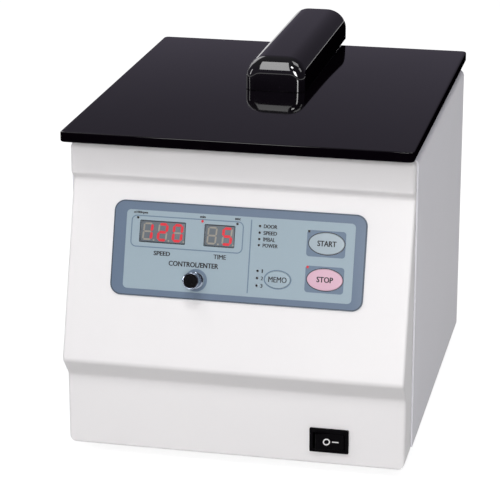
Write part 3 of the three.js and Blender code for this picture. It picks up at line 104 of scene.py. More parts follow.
def rounded(corners: Sequence[Point], steps: int = 8) -> Outline:
    """Draws an outline whose corners are rounded.

    Args:
        corners: u, v and radius of each corner, in order.
        steps: Segments in each rounded corner.

    Returns:
        The points of the outline.
    """
    points: Outline = []
    for i, (u, v, radius) in enumerate(corners):
        here = Vector((u, v))
        before = (Vector(corners[i - 1][:2]) - here).normalized()
        after = (Vector(corners[(i + 1) % len(corners)][:2]) - here).normalized()
        if radius <= 0:
            points.append((u, v))
            continue
        half = before.angle(after) / 2
        centre = here + (before + after).normalized() * (radius / math.sin(half))
        tangent = radius / math.tan(half)
        start = here + before * tangent - centre
        end = here + after * tangent - centre
        first = math.atan2(start.y, start.x)
        turn = math.atan2(start.x * end.y - start.y * end.x, start.dot(end))
        for k in range(steps + 1):
            angle = first + turn * k / steps
            reach_u, reach_v = radius * math.cos(angle), radius * math.sin(angle)
            points.append((centre.x + reach_u, centre.y + reach_v))
    return points


def rectangle(
    u0: float, u1: float, v0: float, v1: float, radius: float = 0.0, inset: float = 0.0
) -> Outline:
    """Draws a rectangle with rounded corners.

    Args:
        u0: Left side.
        u1: Right side.
        v0: Lower side.
        v1: Upper side.
        radius: Radius of the corners.
        inset: How far each side is moved inwards.

    Returns:
        The points of the outline.
    """
    corner = max(radius - inset, LEAST_RADIUS) if radius > 0 else 0.0
    left, right, low, high = u0 + inset, u1 - inset, v0 + inset, v1 - inset
    return rounded(
        [(left, low, corner), (right, low, corner), (right, high, corner), (left, high, corner)]
    )


def ellipse(
    u: float, v: float, radius_u: float, radius_v: float, steps: int = 64, inset: float = 0.0
) -> Outline:
    """Draws an ellipse.

    Args:
        u: Middle, sideways.
        v: Middle, upwards.
        radius_u: Half the width.
        radius_v: Half the height.
        steps: Number of points.
        inset: How far the line is moved inwards.

    Returns:
        The points of the outline.
    """
    turns = [2 * math.pi * k / steps for k in range(steps)]
    wide, tall = radius_u - inset, radius_v - inset
    return [(u + wide * math.cos(a), v + tall * math.sin(a)) for a in turns]


def circle(radius: float, steps: int = 64, u: float = 0.0, v: float = 0.0) -> Outline:
    """Draws a circle about a point."""
    return ellipse(u, v, radius, radius, steps)


def roll(radius: float, steps: int = 5) -> list[Span]:
    """Divides a rolled edge into steps.

    Args:
        radius: Its radius, or 0 for a plain edge.
        steps: Number of steps.

    Returns:
        The inset and the distance from the end for each step, from the end inwards.
    """
    if radius <= 0:
        return [(0.0, 0.0)]
    quarter = math.pi / 2 / steps
    return [
        (radius * (1 - math.sin(k * quarter)), radius * (1 - math.cos(k * quarter)))
        for k in range(steps + 1)
    ]


def fall(radius: float, distance: float) -> float:
    """Works out how far a rolled edge has dropped.

    Args:
        radius: Radius of the edge.
        distance: How far the place is from the end of the form.

    Returns:
        The drop at that place.
    """
    if distance >= radius:
        return 0.0
    return radius - math.sqrt(radius**2 - (radius - distance) ** 2)


# Meshes


def smooth(piece: Piece, angle: float = SMOOTH_ANGLE) -> Piece:
    """Shades a mesh smooth, apart from its sharp edges.

    Args:
        piece: The piece.
        angle: Edges are sharp beyond this angle.

    Returns:
        The same piece.
    """
    mesh = piece.data
    mesh.polygons.foreach_set("use_smooth", [True] * len(mesh.polygons))
    mesh.set_sharp_from_angle(angle=angle)
    return piece


def put(name: str, data: bpy.types.ID) -> Piece:
    """Makes an object of some data and links it to the scene.

    Args:
        name: Name of the object.
        data: A mesh, a curve, a lamp's data or a camera's.

    Returns:
        The new object.
    """
    made = bpy.data.objects.new(name, data)
    bpy.context.scene.collection.objects.link(made)
    return made


def discard(piece: Piece) -> None:
    """Removes an object and its mesh.

    Args:
        piece: The object.
    """
    mesh = piece.data
    bpy.data.objects.remove(piece)
    bpy.data.meshes.remove(mesh)


def piece_of(
    name: str,
    vertices: Iterable[Sequence[float]],
    faces: Iterable[Sequence[int]],
    place: Matrix | None = None,
) -> Piece:
    """Makes an object of vertices and faces.

    Args:
        name: Name of the piece.
        vertices: Places in millimetres.
        faces: Corners of each face.
        place: Frame that the vertices are given in, in millimetres.

    Returns:
        The new object, smooth shaded, with its faces turned outwards.
    """
    matrix = Matrix.Scale(MM, 4) @ (place or Matrix.Identity(4))
    mesh = bpy.data.meshes.new(name)
    mesh.from_pydata([tuple(matrix @ Vector(v)) for v in vertices], [], list(faces))
    form = bmesh.new()
    form.from_mesh(mesh)
    bmesh.ops.remove_doubles(form, verts=form.verts, dist=WELD_DISTANCE)
    bmesh.ops.dissolve_degenerate(form, edges=form.edges, dist=WELD_DISTANCE / 10)
    bmesh.ops.recalc_face_normals(form, faces=form.faces)
    form.to_mesh(mesh)
    form.free()
    return smooth(put(name, mesh))


def loft(
    name: str, rings: Sequence[Ring], place: Matrix | None = None, closed: bool = False
) -> Piece:
    """Skins a row of rings that have the same number of points.

    Args:
        name: Name of the piece.
        rings: The rings, in millimetres.
        place: Frame that the rings are given in.
        closed: True joins the last ring to the first, False fills both ends.

    Returns:
        The new object.
    """
    count = len(rings[0])
    total = len(rings)
    faces: list[tuple[int, ...]] = []
    for r in range(total if closed else total - 1):
        low = r * count
        high = (r + 1) % total * count
        for k in range(count):
            after = (k + 1) % count
            faces.append((low + k, low + after, high + after, high + k))
    if not closed:
        faces.append(tuple(range(count)))
        faces.append(tuple((total - 1) * count + k for k in range(count)))
    return piece_of(name, [point for ring in rings for point in ring], faces, place)


def slab(
    name: str,
    outline: Callable[[float], Outline],
    low: float,
    high: float,
    low_roll: float = 0.0,
    high_roll: float = 0.0,
    place: Matrix | None = None,
) -> Piece:
    """Draws a flat form out of an outline, with rolled edges.

    Args:
        name: Name of the piece.
        outline: Gives the outline for an inset.
        low: Where the form begins.
        high: Where it ends.
        low_roll: Radius of the edge at the beginning.
        high_roll: Radius of the edge at the end.
        place: Frame of the outline.

    Returns:
        The new object.
    """
    steps = [(inset, low + along) for inset, along in roll(low_roll)]
    steps += [(inset, high - along) for inset, along in reversed(roll(high_roll))]
    return loft(name, [[(u, v, w) for u, v in outline(inset)] for inset, w in steps], place)


def prism(
    name: str, outline: Outline, low: float, high: float, place: Matrix | None = None
) -> Piece:
    """Draws an outline straight out, with plain ends."""
    return slab(name, lambda inset: outline, low, high, place=place)


def band(
    name: str, outer: Outline, inner: Outline, low: float, high: float, place: Matrix | None = None
) -> Piece:
    """Makes the frame between two outlines that have the same number of points.

    Args:
        name: Name of the piece.
        outer: The outer outline.
        inner: The inner outline.
        low: Where the frame begins.
        high: Where it ends.
        place: Frame of the outlines.

    Returns:
        The new object.
    """
    rings = [
        [(u, v, low) for u, v in outer],
        [(u, v, high) for u, v in outer],
        [(u, v, high) for u, v in inner],
        [(u, v, low) for u, v in inner],
    ]
    return loft(name, rings, place, closed=True)


def turned(
    name: str,
    profile: Sequence[Span],
    steps: int = 96,
    place: Matrix | None = None,
    closed: bool = False,
) -> Piece:
    """Turns a profile about the z axis.

    Args:
        name: Name of the piece.
        profile: Radius and height of each point.
        steps: Segments round the axis.
        place: Frame of the axis.
        closed: True for a profile that goes round a hole.

    Returns:
        The new object.
    """
    turns = [2 * math.pi * k / steps for k in range(steps)]
    rings = [[(r * math.cos(a), r * math.sin(a), z) for a in turns] for r, z in profile]
    return loft(name, rings, place, closed)


def bend(u: float, v: float, radius: float, first: float, last: float, steps: int = 10) -> Outline:
    """Draws an arc round a point, between two angles in degrees."""
    turns = [math.radians(first + (last - first) * k / steps) for k in range(steps + 1)]
    return [(u + radius * math.cos(a), v + radius * math.sin(a)) for a in turns]


def settle(piece: Piece) -> Piece:
    """Writes a piece's modifiers into its mesh.

    Args:
        piece: The piece.

    Returns:
        The same piece, with a new mesh.
    """
    graph = bpy.context.evaluated_depsgraph_get()
    mesh = bpy.data.meshes.new_from_object(piece.evaluated_get(graph))
    old = piece.data
    piece.modifiers.clear()
    piece.data = mesh
    mesh.name = piece.name
    bpy.data.meshes.remove(old)
    return smooth(piece)


def carve(piece: Piece, *cutters: Piece) -> Piece:
    """Cuts forms out of a piece and removes them.

    Args:
        piece: The piece.
        cutters: The forms, in the order that they are cut.

    Returns:
        The same piece.
    """
    for cutter in cutters:
        change = piece.modifiers.new("cut", "BOOLEAN")
        change.operation = "DIFFERENCE"
        change.solver = "EXACT"
        change.object = cutter
    settle(piece)
    for cutter in cutters:
        discard(cutter)
    return piece


def gather(name: str, parts: Sequence[Piece]) -> Piece:
    """Puts several meshes into one object.

    Args:
        name: Name of the whole.
        parts: The objects, which are removed.

    Returns:
        The new object.
    """
    form = bmesh.new()
    for part in parts:
        form.from_mesh(part.data)
    mesh = bpy.data.meshes.new(name)
    form.to_mesh(mesh)
    form.free()
    for part in parts:
        discard(part)
    return smooth(put(name, mesh))


def soften(piece: Piece, width: float, segments: int = 3, weld: bool = False) -> None:
    """Rounds the sharp edges of a piece.

    Args:
        piece: The piece.
        width: Width of the rounding in millimetres.
        segments: Steps across it.
        weld: True for a CAD node, whose triangles are first joined into whole faces.
    """
    if weld:
        join = piece.modifiers.new("weld", "WELD")
        join.merge_threshold = WELD_DISTANCE
        flat = piece.modifiers.new("flat_faces", "DECIMATE")
        flat.decimate_type = "DISSOLVE"
        flat.angle_limit = FLAT_ANGLE
    bevel = piece.modifiers.new("edge_rounding", "BEVEL")
    bevel.width = width * MM
    bevel.segments = segments
    bevel.limit_method = "ANGLE"
    bevel.angle_limit = BEVEL_ANGLE
    bevel.harden_normals = True
    bevel.use_clamp_overlap = True


# Finishes


def linear(code: str) -> Colour:
    """Turns an sRGB colour into linear values.

    Args:
        code: The colour as #RRGGBB.

    Returns:
        Red, green and blue, and full opacity.
    """
    shares = [int(code[i : i + 2], 16) / 255 for i in (1, 3, 5)]
    red, green, blue = (s / 12.92 if s <= 0.04045 else ((s + 0.055) / 1.055) ** 2.4 for s in shares)
    return (red, green, blue, 1.0)


def empty_tree(owner: bpy.types.Material | bpy.types.World) -> Tree:
    """Clears the nodes of a new material or world.

    Args:
        owner: The material or world.

    Returns:
        Its empty node tree.
    """
    owner.use_nodes = True
    owner.node_tree.nodes.clear()
    return owner.node_tree


def scale_for(size: float) -> float:
    """Gives the scale at which a texture repeats after about a size in millimetres."""
    return 1 / (size * MM)


def add_node(
    tree: Tree,
    kind: str,
    settings: dict[str, Any] | None = None,
    inputs: dict[str | int, Any] | None = None,
) -> Node:
    """Adds a node with its settings, values and links.

    Args:
        tree: The tree that it joins.
        kind: Blender's name of the node type.
        settings: Properties of the node.
        inputs: A value, or the output to link, for each named or numbered input.

    Returns:
        The new node.
    """
    node = tree.nodes.new(kind)
    for key, value in (settings or {}).items():
        setattr(node, key, value)
    for key, value in (inputs or {}).items():
        if isinstance(value, Socket):
            tree.links.new(value, node.inputs[key])
        else:
            node.inputs[key].default_value = value
    return node


@dataclass(frozen=True)
class Finish:
    """What every finish shares: a name, two close colours and a roughness."""

    name: str
    colour: str
    shade: str
    roughness: float

    def material(self) -> bpy.types.Material:
        """Gives the finish's material, which is made on first use.

        Returns:
            The material.
        """
        found = bpy.data.materials.get(self.name)
        if found:
            return found
        made = bpy.data.materials.new(self.name)
        tree = empty_tree(made)
        shader = add_node(tree, "ShaderNodeBsdfPrincipled", inputs=self.constants())
        add_node(tree, "ShaderNodeOutputMaterial", inputs={"Surface": shader.outputs["BSDF"]})
        where = add_node(tree, "ShaderNodeTexCoord").outputs["Object"]
        self.dress(tree, shader, where)
        return made

    def constants(self) -> dict[str, Any]:
        """Gives the shader's inputs that are the same all over the piece."""
        return {"Roughness": self.roughness}

    def dress(self, tree: Tree, shader: Node, where: Socket) -> None:
        """Adds the finish's own nodes.

        Args:
            tree: The material's nodes.
            shader: The Principled shader.
            where: Object coordinates in metres.
        """
        raise NotImplementedError

    def tone(self, tree: Tree, share: Socket) -> Socket:
        """Mixes the two colours by a share."""
        colours = {0: share, 6: linear(self.colour), 7: linear(self.shade)}
        return add_node(tree, "ShaderNodeMix", {"data_type": "RGBA"}, colours).outputs[2]

    def surface(
        self,
        tree: Tree,
        shader: Node,
        share: Socket,
        height: Socket,
        relief: Span,
        gloss: dict[str, Any] | None = None,
    ) -> None:
        """Lets the finish's patterns drive the colour, the relief and the gloss.

        Args:
            tree: The material's nodes.
            shader: The Principled shader.
            share: Pattern that mixes the two colours.
            height: Pattern of the relief.
            relief: Strength of the relief, and its depth in millimetres.
            gloss: Inputs of the map from a pattern to the roughness. None leaves it even.
        """
        tree.links.new(self.tone(tree, share), shader.inputs["Base Color"])
        strength, depth = relief
        rise = {"Strength": strength, "Distance": depth * MM, "Height": height}
        bump = add_node(tree, "ShaderNodeBump", inputs=rise)
        tree.links.new(bump.outputs["Normal"], shader.inputs["Normal"])
        if gloss:
            rough = add_node(tree, "ShaderNodeMapRange", inputs=gloss)
            tree.links.new(rough.outputs["Result"], shader.inputs["Roughness"])


@dataclass(frozen=True)
class MouldedPlastic(Finish):
    """Injection-moulded plastic out of a spark-eroded tool: an even satin with a fine grain."""

    grain: float = 1.1
    relief: float = 0.02
    patch: float = 70.0
    specular: float = 0.5
    least_roughness: float = 0.02

    def constants(self) -> dict[str, Any]:
        """Adds the plastic's own values."""
        return super().constants() | {"IOR": 1.52, "Specular IOR Level": self.specular}

    def dress(self, tree: Tree, shader: Node, where: Socket) -> None:
        """Adds tone patches, grain in the roughness and relief.

        Args:
            tree: The material's nodes.
            shader: The Principled shader.
            where: Object coordinates in metres.
        """
        slow = {"Vector": where, "Scale": scale_for(self.patch), "Detail": 2.0}
        patches = add_node(tree, "ShaderNodeTexNoise", inputs=slow).outputs["Fac"]
        fine = {"Vector": where, "Scale": scale_for(self.grain), "Detail": 3.0, "Roughness": 0.6}
        grain = add_node(tree, "ShaderNodeTexNoise", inputs=fine).outputs["Fac"]
        gloss = {
            "Value": grain,
            "From Min": 0.3,
            "From Max": 0.7,
            "To Min": max(self.roughness - 0.05, self.least_roughness),
            "To Max": self.roughness + 0.05,
        }
        self.surface(tree, shader, patches, grain, (0.6, self.relief), gloss)


@dataclass(frozen=True)
class PolishedAcrylic(Finish):
    """Black acrylic, polished: near-black with clear reflections, broken by faint wiping marks."""

    wipe: float = 9.0
    wipe_angle: float = 0.5
    wipe_stretch: float = 0.18
    wave: float = 45.0
    wave_depth: float = 0.05
    specular: float = 0.5

    def constants(self) -> dict[str, Any]:
        """Adds the acrylic's own values."""
        return super().constants() | {"IOR": 1.49, "Specular IOR Level": self.specular}

    def dress(self, tree: Tree, shader: Node, where: Socket) -> None:
        """Adds long faint wiping marks to the gloss and a slow wave.

        Args:
            tree: The material's nodes.
            shader: The Principled shader.
            where: Object coordinates in metres.
        """
        turn = {
            "Vector": where,
            "Rotation": (0.0, 0.0, self.wipe_angle),
            "Scale": (1.0, self.wipe_stretch, 1.0),
        }
        along = add_node(tree, "ShaderNodeMapping", inputs=turn).outputs[0]
        marks = {"Vector": along, "Scale": scale_for(self.wipe), "Detail": 5.0}
        wipes = add_node(tree, "ShaderNodeTexNoise", inputs=marks).outputs["Fac"]
        slow = {"Vector": where, "Scale": scale_for(self.wave), "Detail": 1.0}
        wave = add_node(tree, "ShaderNodeTexNoise", inputs=slow).outputs["Fac"]
        gloss = {
            "Value": wipes,
            "From Min": 0.35,
            "From Max": 0.75,
            "To Min": self.roughness * 0.6,
            "To Max": self.roughness * 1.6,
        }
        self.surface(tree, shader, wipes, wave, (0.12, self.wave_depth), gloss)


@dataclass(frozen=True)
class BakedEnamel(Finish):
    """Sheet steel with baked enamel: a low sheen over the soft dimples of orange peel."""

    dimple: float = 2.2
    dimple_depth: float = 0.03
    patch: float = 95.0

    def constants(self) -> dict[str, Any]:
        """Adds the enamel's own value."""
        return super().constants() | {"IOR": 1.5}

    def dress(self, tree: Tree, shader: Node, where: Socket) -> None:
        """Adds the dimples and slow tone patches.

        Args:
            tree: The material's nodes.
            shader: The Principled shader.
            where: Object coordinates in metres.
        """
        slow = {"Vector": where, "Scale": scale_for(self.patch), "Detail": 2.0}
        patches = add_node(tree, "ShaderNodeTexNoise", inputs=slow).outputs["Fac"]
        fine = {"Vector": where, "Scale": scale_for(self.dimple), "Detail": 1.5}
        dimples = add_node(tree, "ShaderNodeTexNoise", inputs=fine).outputs["Fac"]
        gloss = {
            "Value": dimples,
            "To Min": self.roughness - 0.05,
            "To Max": self.roughness + 0.06,
        }
        self.surface(tree, shader, patches, dimples, (0.5, self.dimple_depth), gloss)


class Marks(Enum):
    """How a metal's tool marks run."""

    ROUND_AXIS = "round the rotor's axis"
    LENGTHWISE = "along one direction"
    NONE = "polished or plated, only handled"


@dataclass(frozen=True)
class Metal(Finish):
    """Bare or plated metal. Its tool marks break the reflections into fine lines."""

    marks: Marks = Marks.NONE
    pitch: float = 0.9  # coarser than real tool marks, so that they show
    depth: float = 0.004
    stretch: float = 0.02
    tarnish: float = 60.0

    def constants(self) -> dict[str, Any]:
        """Makes the shader a metal."""
        return super().constants() | {"Metallic": 1.0}

    def dress(self, tree: Tree, shader: Node, where: Socket) -> None:
        """Adds the tool marks and a little tarnish.

        Args:
            tree: The material's nodes.
            shader: The Principled shader.
            where: Object coordinates in metres.
        """
        lines = self.lines(tree, where)
        slow = {"Vector": where, "Scale": scale_for(self.tarnish), "Detail": 1.0}
        tarnish = add_node(tree, "ShaderNodeTexNoise", inputs=slow).outputs["Fac"]
        both = add_node(
            tree, "ShaderNodeMath", {"operation": "MULTIPLY"}, {0: lines, 1: tarnish}
        ).outputs[0]
        gloss = {
            "Value": tarnish,
            "To Min": self.roughness * 0.88,
            "To Max": self.roughness * 1.12,
        }
        self.surface(tree, shader, both, lines, (0.7, self.depth), gloss)

    def lines(self, tree: Tree, where: Socket) -> Socket:
        """Draws the tool marks.

        Args:
            tree: The material's nodes.
            where: Object coordinates in metres.

        Returns:
            The height of the marks at each place.
        """
        settings: dict[str, Any] = {}
        if self.marks is Marks.NONE:
            pattern = {"Vector": where, "Detail": 4.0}
        elif self.marks is Marks.LENGTHWISE:
            along = {"Vector": where, "Scale": (self.stretch, 1.0, 1.0)}
            stretched = add_node(tree, "ShaderNodeMapping", inputs=along).outputs[0]
            pattern = {"Vector": stretched, "Detail": 3.0}
        else:
            point = where
            for operation, other in (
                ("SUBTRACT", (0.0, AXIS_Y * MM, 0.0)),
                ("MULTIPLY", (1.0, 1.0, 0.0)),
            ):
                point = add_node(
                    tree, "ShaderNodeVectorMath", {"operation": operation}, {0: point, 1: other}
                ).outputs[0]
            radius = add_node(tree, "ShaderNodeVectorMath", {"operation": "LENGTH"}, {0: point})
            settings = {"noise_dimensions": "1D"}
            pattern = {"W": radius.outputs["Value"], "Detail": 3.0}
        pattern["Scale"] = scale_for(self.pitch)
        return add_node(tree, "ShaderNodeTexNoise", settings, pattern).outputs["Fac"]


@dataclass(frozen=True)
class PrintedFilm(Finish):
    """Screen-printed polyester film: matt ink under a fine velvet texture."""

    texture: float = 0.9
    relief: float = 0.01

    def constants(self) -> dict[str, Any]:
        """Adds the film's own value."""
        return super().constants() | {"IOR": 1.57}

    def dress(self, tree: Tree, shader: Node, where: Socket) -> None:
        """Adds the velvet texture and uneven ink.

        Args:
            tree: The material's nodes.
            shader: The Principled shader.
            where: Object coordinates in metres.
        """
        fine = {"Vector": where, "Scale": scale_for(self.texture), "Detail": 2.0}
        velvet = add_node(tree, "ShaderNodeTexNoise", inputs=fine).outputs["Fac"]
        self.surface(tree, shader, velvet, velvet, (0.4, self.relief))


@dataclass(frozen=True)
class Rubber(Finish):
    """Moulded black rubber: dull, with a dusty bloom."""

    bloom: float = 6.0
    pit: float = 0.7
    pit_depth: float = 0.03

    def dress(self, tree: Tree, shader: Node, where: Socket) -> None:
        """Adds the bloom and a fine pitted relief.

        Args:
            tree: The material's nodes.
            shader: The Principled shader.
            where: Object coordinates in metres.
        """
        slow = {"Vector": where, "Scale": scale_for(self.bloom), "Detail": 6.0, "Roughness": 0.7}
        bloom = add_node(tree, "ShaderNodeTexNoise", inputs=slow).outputs["Fac"]
        fine = {"Vector": where, "Scale": scale_for(self.pit), "Detail": 3.0}
        pits = add_node(tree, "ShaderNodeTexNoise", inputs=fine).outputs["Fac"]
        self.surface(tree, shader, bloom, pits, (0.6, self.pit_depth))


@dataclass(frozen=True)
class LitLens(Finish):
    """A lit diode behind diffusing plastic: an even glow with the diffuser's faint grain in it."""

    glow: float = 0.75
    grain: float = 1.4

    def constants(self) -> dict[str, Any]:
        """Adds the strength of the glow."""
        return super().constants() | {"Emission Strength": self.glow}

    def dress(self, tree: Tree, shader: Node, where: Socket) -> None:
        """Adds the grain to the plastic and to its light.

        Args:
            tree: The material's nodes.
            shader: The Principled shader.
            where: Object coordinates in metres.
        """
        fine = {"Vector": where, "Scale": scale_for(self.grain), "Detail": 2.0}
        grain = add_node(tree, "ShaderNodeTexNoise", inputs=fine).outputs["Fac"]
        tone = self.tone(tree, grain)
        for name in ("Base Color", "Emission Color"):
            tree.links.new(tone, shader.inputs[name])


@dataclass(frozen=True)
class PatternedBoard(Finish):
    """Glass-fibre board with green solder mask: darker tracks show through the lacquer."""

    track: float = 2.5
    relief: float = 0.05

    def dress(self, tree: Tree, shader: Node, where: Socket) -> None:
        """Adds the tracks as a brick pattern and their relief.

        Args:
            tree: The material's nodes.
            shader: The Principled shader.
            where: Object coordinates in metres.
        """
        bricks = {
            "Vector": where,
            "Scale": scale_for(self.track),
            "Mortar Size": 0.12,
            "Color1": (1.0, 1.0, 1.0, 1.0),
            "Color2": (0.7, 0.7, 0.7, 1.0),
        }
        tracks = add_node(tree, "ShaderNodeTexBrick", inputs=bricks).outputs["Fac"]
        self.surface(tree, shader, tracks, tracks, (0.5, self.relief))


@dataclass(frozen=True)
class WoundWire(Finish):
    """Lacquered copper wire in tight turns: shining ridges across the winding."""

    wire: float = 1.0
    relief: float = 0.2

    def constants(self) -> dict[str, Any]:
        """Makes the shader a metal."""
        return super().constants() | {"Metallic": 1.0}

    def dress(self, tree: Tree, shader: Node, where: Socket) -> None:
        """Adds the turns of wire as bands.

        Args:
            tree: The material's nodes.
            shader: The Principled shader.
            where: Object coordinates in metres.
        """
        bands = {"Vector": where, "Scale": scale_for(self.wire) / (2 * math.pi), "Distortion": 0.6}
        turns = add_node(
            tree, "ShaderNodeTexWave", {"bands_direction": "Z"}, bands
        ).outputs["Fac"]
        self.surface(tree, shader, turns, turns, (0.8, self.relief))


WHITE_ABS = MouldedPlastic("white_moulded_abs", "#EFEDEC", "#EAE8E8", 0.42)
SHELL_ENAMEL = BakedEnamel("pale_baked_enamel", "#E2E1E6", "#DDDCE2", 0.42)
LID_ACRYLIC = PolishedAcrylic("black_sheet_acrylic", "#040205", "#080509", 0.05)
HANDLE_ACRYLIC = PolishedAcrylic("black_bar_acrylic", "#040205", "#070408", 0.05, specular=1.0)
# Sawn and scraped, not polished: the sides stay dull black between the polished faces.
CUT_ACRYLIC = PolishedAcrylic("scraped_black_acrylic", "#040205", "#070408", 0.35, specular=0.0)
BLACK_NYLON = MouldedPlastic(
    "black_moulded_nylon", "#050406", "#09080A", 0.3, relief=0.03, specular=0.02
)
KNOB_FACE = MouldedPlastic("knob_face_black_abs", "#050405", "#090708", 0.24, specular=0.2)
PANEL_FRAME_FILM = PrintedFilm("slate_printed_film", "#5F7187", "#5B6D83", 0.48)
PANEL_FIELD_INK = PrintedFilm("pale_blue_ink", "#96A8B2", "#92A4AE", 0.50)
SLATE_INK = PrintedFilm("slate_ink", "#62758A", "#5E7186", 0.50)
OUTLINE_INK = PrintedFilm("dark_slate_ink", "#647A8E", "#5F7589", 0.50)
# Painted shadow: a dark band along the panel film's edge, where that edge lies in shade.
EDGE_SHADOW_INK = PrintedFilm("border_ink", "#38424D", "#323C47", 0.50)
BLACK_INK = PrintedFilm("black_ink", "#100D12", "#18141A", 0.50)
DARK_BLUE_INK = PrintedFilm("dark_frame_ink", "#39434D", "#333C46", 0.45)
WHITE_INK = PrintedFilm("white_pad_print", "#F1F0EF", "#E6E5E4", 0.45)
KEY_BLUE = PrintedFilm("pale_key_film", "#A2B0B8", "#9EACB4", 0.46)
KEY_FIELD = PrintedFilm("field_key_film", "#98AAB4", "#94A6B0", 0.48)
KEY_PINK = PrintedFilm("pink_key_film", "#D6AEBF", "#D2AABB", 0.46)
DISPLAY_LENS = PrintedFilm("smoked_display_lens", "#60686F", "#5B636A", 0.42)
UNLIT_SEGMENT = PrintedFilm("unlit_segment", "#969186", "#8E897F", 0.40)
LIT_SEGMENT = LitLens("lit_red_segment", "#C22230", "#B81C2A", 0.42, glow=0.36)
UNLIT_LAMP = PrintedFilm("unlit_lamp", "#1B181C", "#151215", 0.20)
# Nickel grey with a blue tint; the blue is a painted reflection of the slate panel.
NICKEL_PAINTED_BLUE_REFLECTION = Metal("satin_nickel_plate", "#9AA2B0", "#858D9C", 0.17, depth=0.002)
CHROME = Metal("chrome_plate", "#D8DADE", "#C2C5CA", 0.09, depth=0.002)
STAINLESS = Metal("stainless_deep_drawn", "#B4B7BB", "#A4A7AC", 0.28, marks=Marks.ROUND_AXIS)
ANODISED = Metal("clear_anodised_aluminium", "#C3C6CA", "#B2B5BA", 0.34, marks=Marks.ROUND_AXIS)
PLATED_STEEL = Metal("zinc_plated_steel", "#A9ACB0", "#8F9297", 0.36, depth=0.01, pitch=1.2)
BRUSHED_STEEL = Metal("brushed_steel", "#9FA2A6", "#8B8E92", 0.38, marks=Marks.LENGTHWISE)
BLACK_RUBBER = Rubber("black_moulded_rubber", "#17171A", "#222226", 0.78)
GREEN_BOARD = PatternedBoard("green_circuit_board", "#1F5A34", "#174526", 0.40)
COPPER_WINDING = WoundWire("lacquered_copper_winding", "#A5602F", "#7A431E", 0.32)


def fit(piece: Piece, body: str, slot: str, finish: Finish, *nodes: str) -> Piece:
    """Dresses a new piece and hangs it on its body.

    Args:
        piece: The piece, in place.
        body: The CAD body that it rides on.
        slot: The record's material slot; not used.
        finish: Its finish.
        nodes: CAD nodes that it stands for.

    Returns:
        The same piece.
    """
    piece.data.materials.clear()
    piece.data.materials.append(finish.material())
    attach(piece, body)
    if nodes:
        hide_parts(*nodes)
    LOG.info("%s rides on %s", piece.name, body)
    return piece


# Sub-assemblies


@dataclass(frozen=True)
class Window:
    """A display's window in the control panel."""

    name: str
    x: float
    y: float
    width: float
    height: float = 15.1

    def outline(self, rim: float = 0.0, radius: float = 0.0, inset: float = 0.0) -> Outline:
        """Draws the window's outline, first moved out by a rim, then in by an inset."""
        u, v = self.width / 2 + rim, self.height / 2 + rim
        return rectangle(self.x - u, self.x + u, self.y - v, self.y + v, radius, inset)


@dataclass(frozen=True)
class Key:
    """An elliptical key of the control panel."""

    name: str
    x: float
    y: float
    radius_u: float
    radius_v: float

    def outline(self, rim: float = 0.0, steps: int = 64, inset: float = 0.0) -> Outline:
        """Draws the key's outline, first moved out by a rim, then in by an inset."""
        return ellipse(self.x, self.y, self.radius_u + rim, self.radius_v + rim, steps, inset)


@dataclass(frozen=True)
class PanelPlan:
    """Where the incline lies, and what sits on it, in its own frame."""

    middle: Point = (0.0, -143.2926, 156.650)
    up: Point = (0.0, 0.30066, 0.95373)
    out: Point = (0.0, -0.95373, 0.30066)
    windows: tuple[Window, ...] = (
        Window("speed", -55.02, 12.39, 32.8),
        Window("time", -13.67, 12.39, 21.6),
    )
    keys: tuple[Key, ...] = (
        Key("start", 63.22, 12.12, 12.45, 7.35),
        Key("stop", 63.41, -13.13, 12.45, 7.35),
        Key("memo", 29.88, -15.37, 8.9, 5.8),
    )
    knob: Span = (-28.61, -19.90)

    def frame(self) -> Matrix:
        """Gives the incline's frame.

        Returns:
            The frame in millimetres: x right, y up the incline, z out of it.
        """
        frame = Matrix(((1.0, 0.0, 0.0), self.up, self.out)).transposed().to_4x4()
        frame.translation = self.middle
        return frame


PLAN = PanelPlan()
PANEL = PLAN.frame()


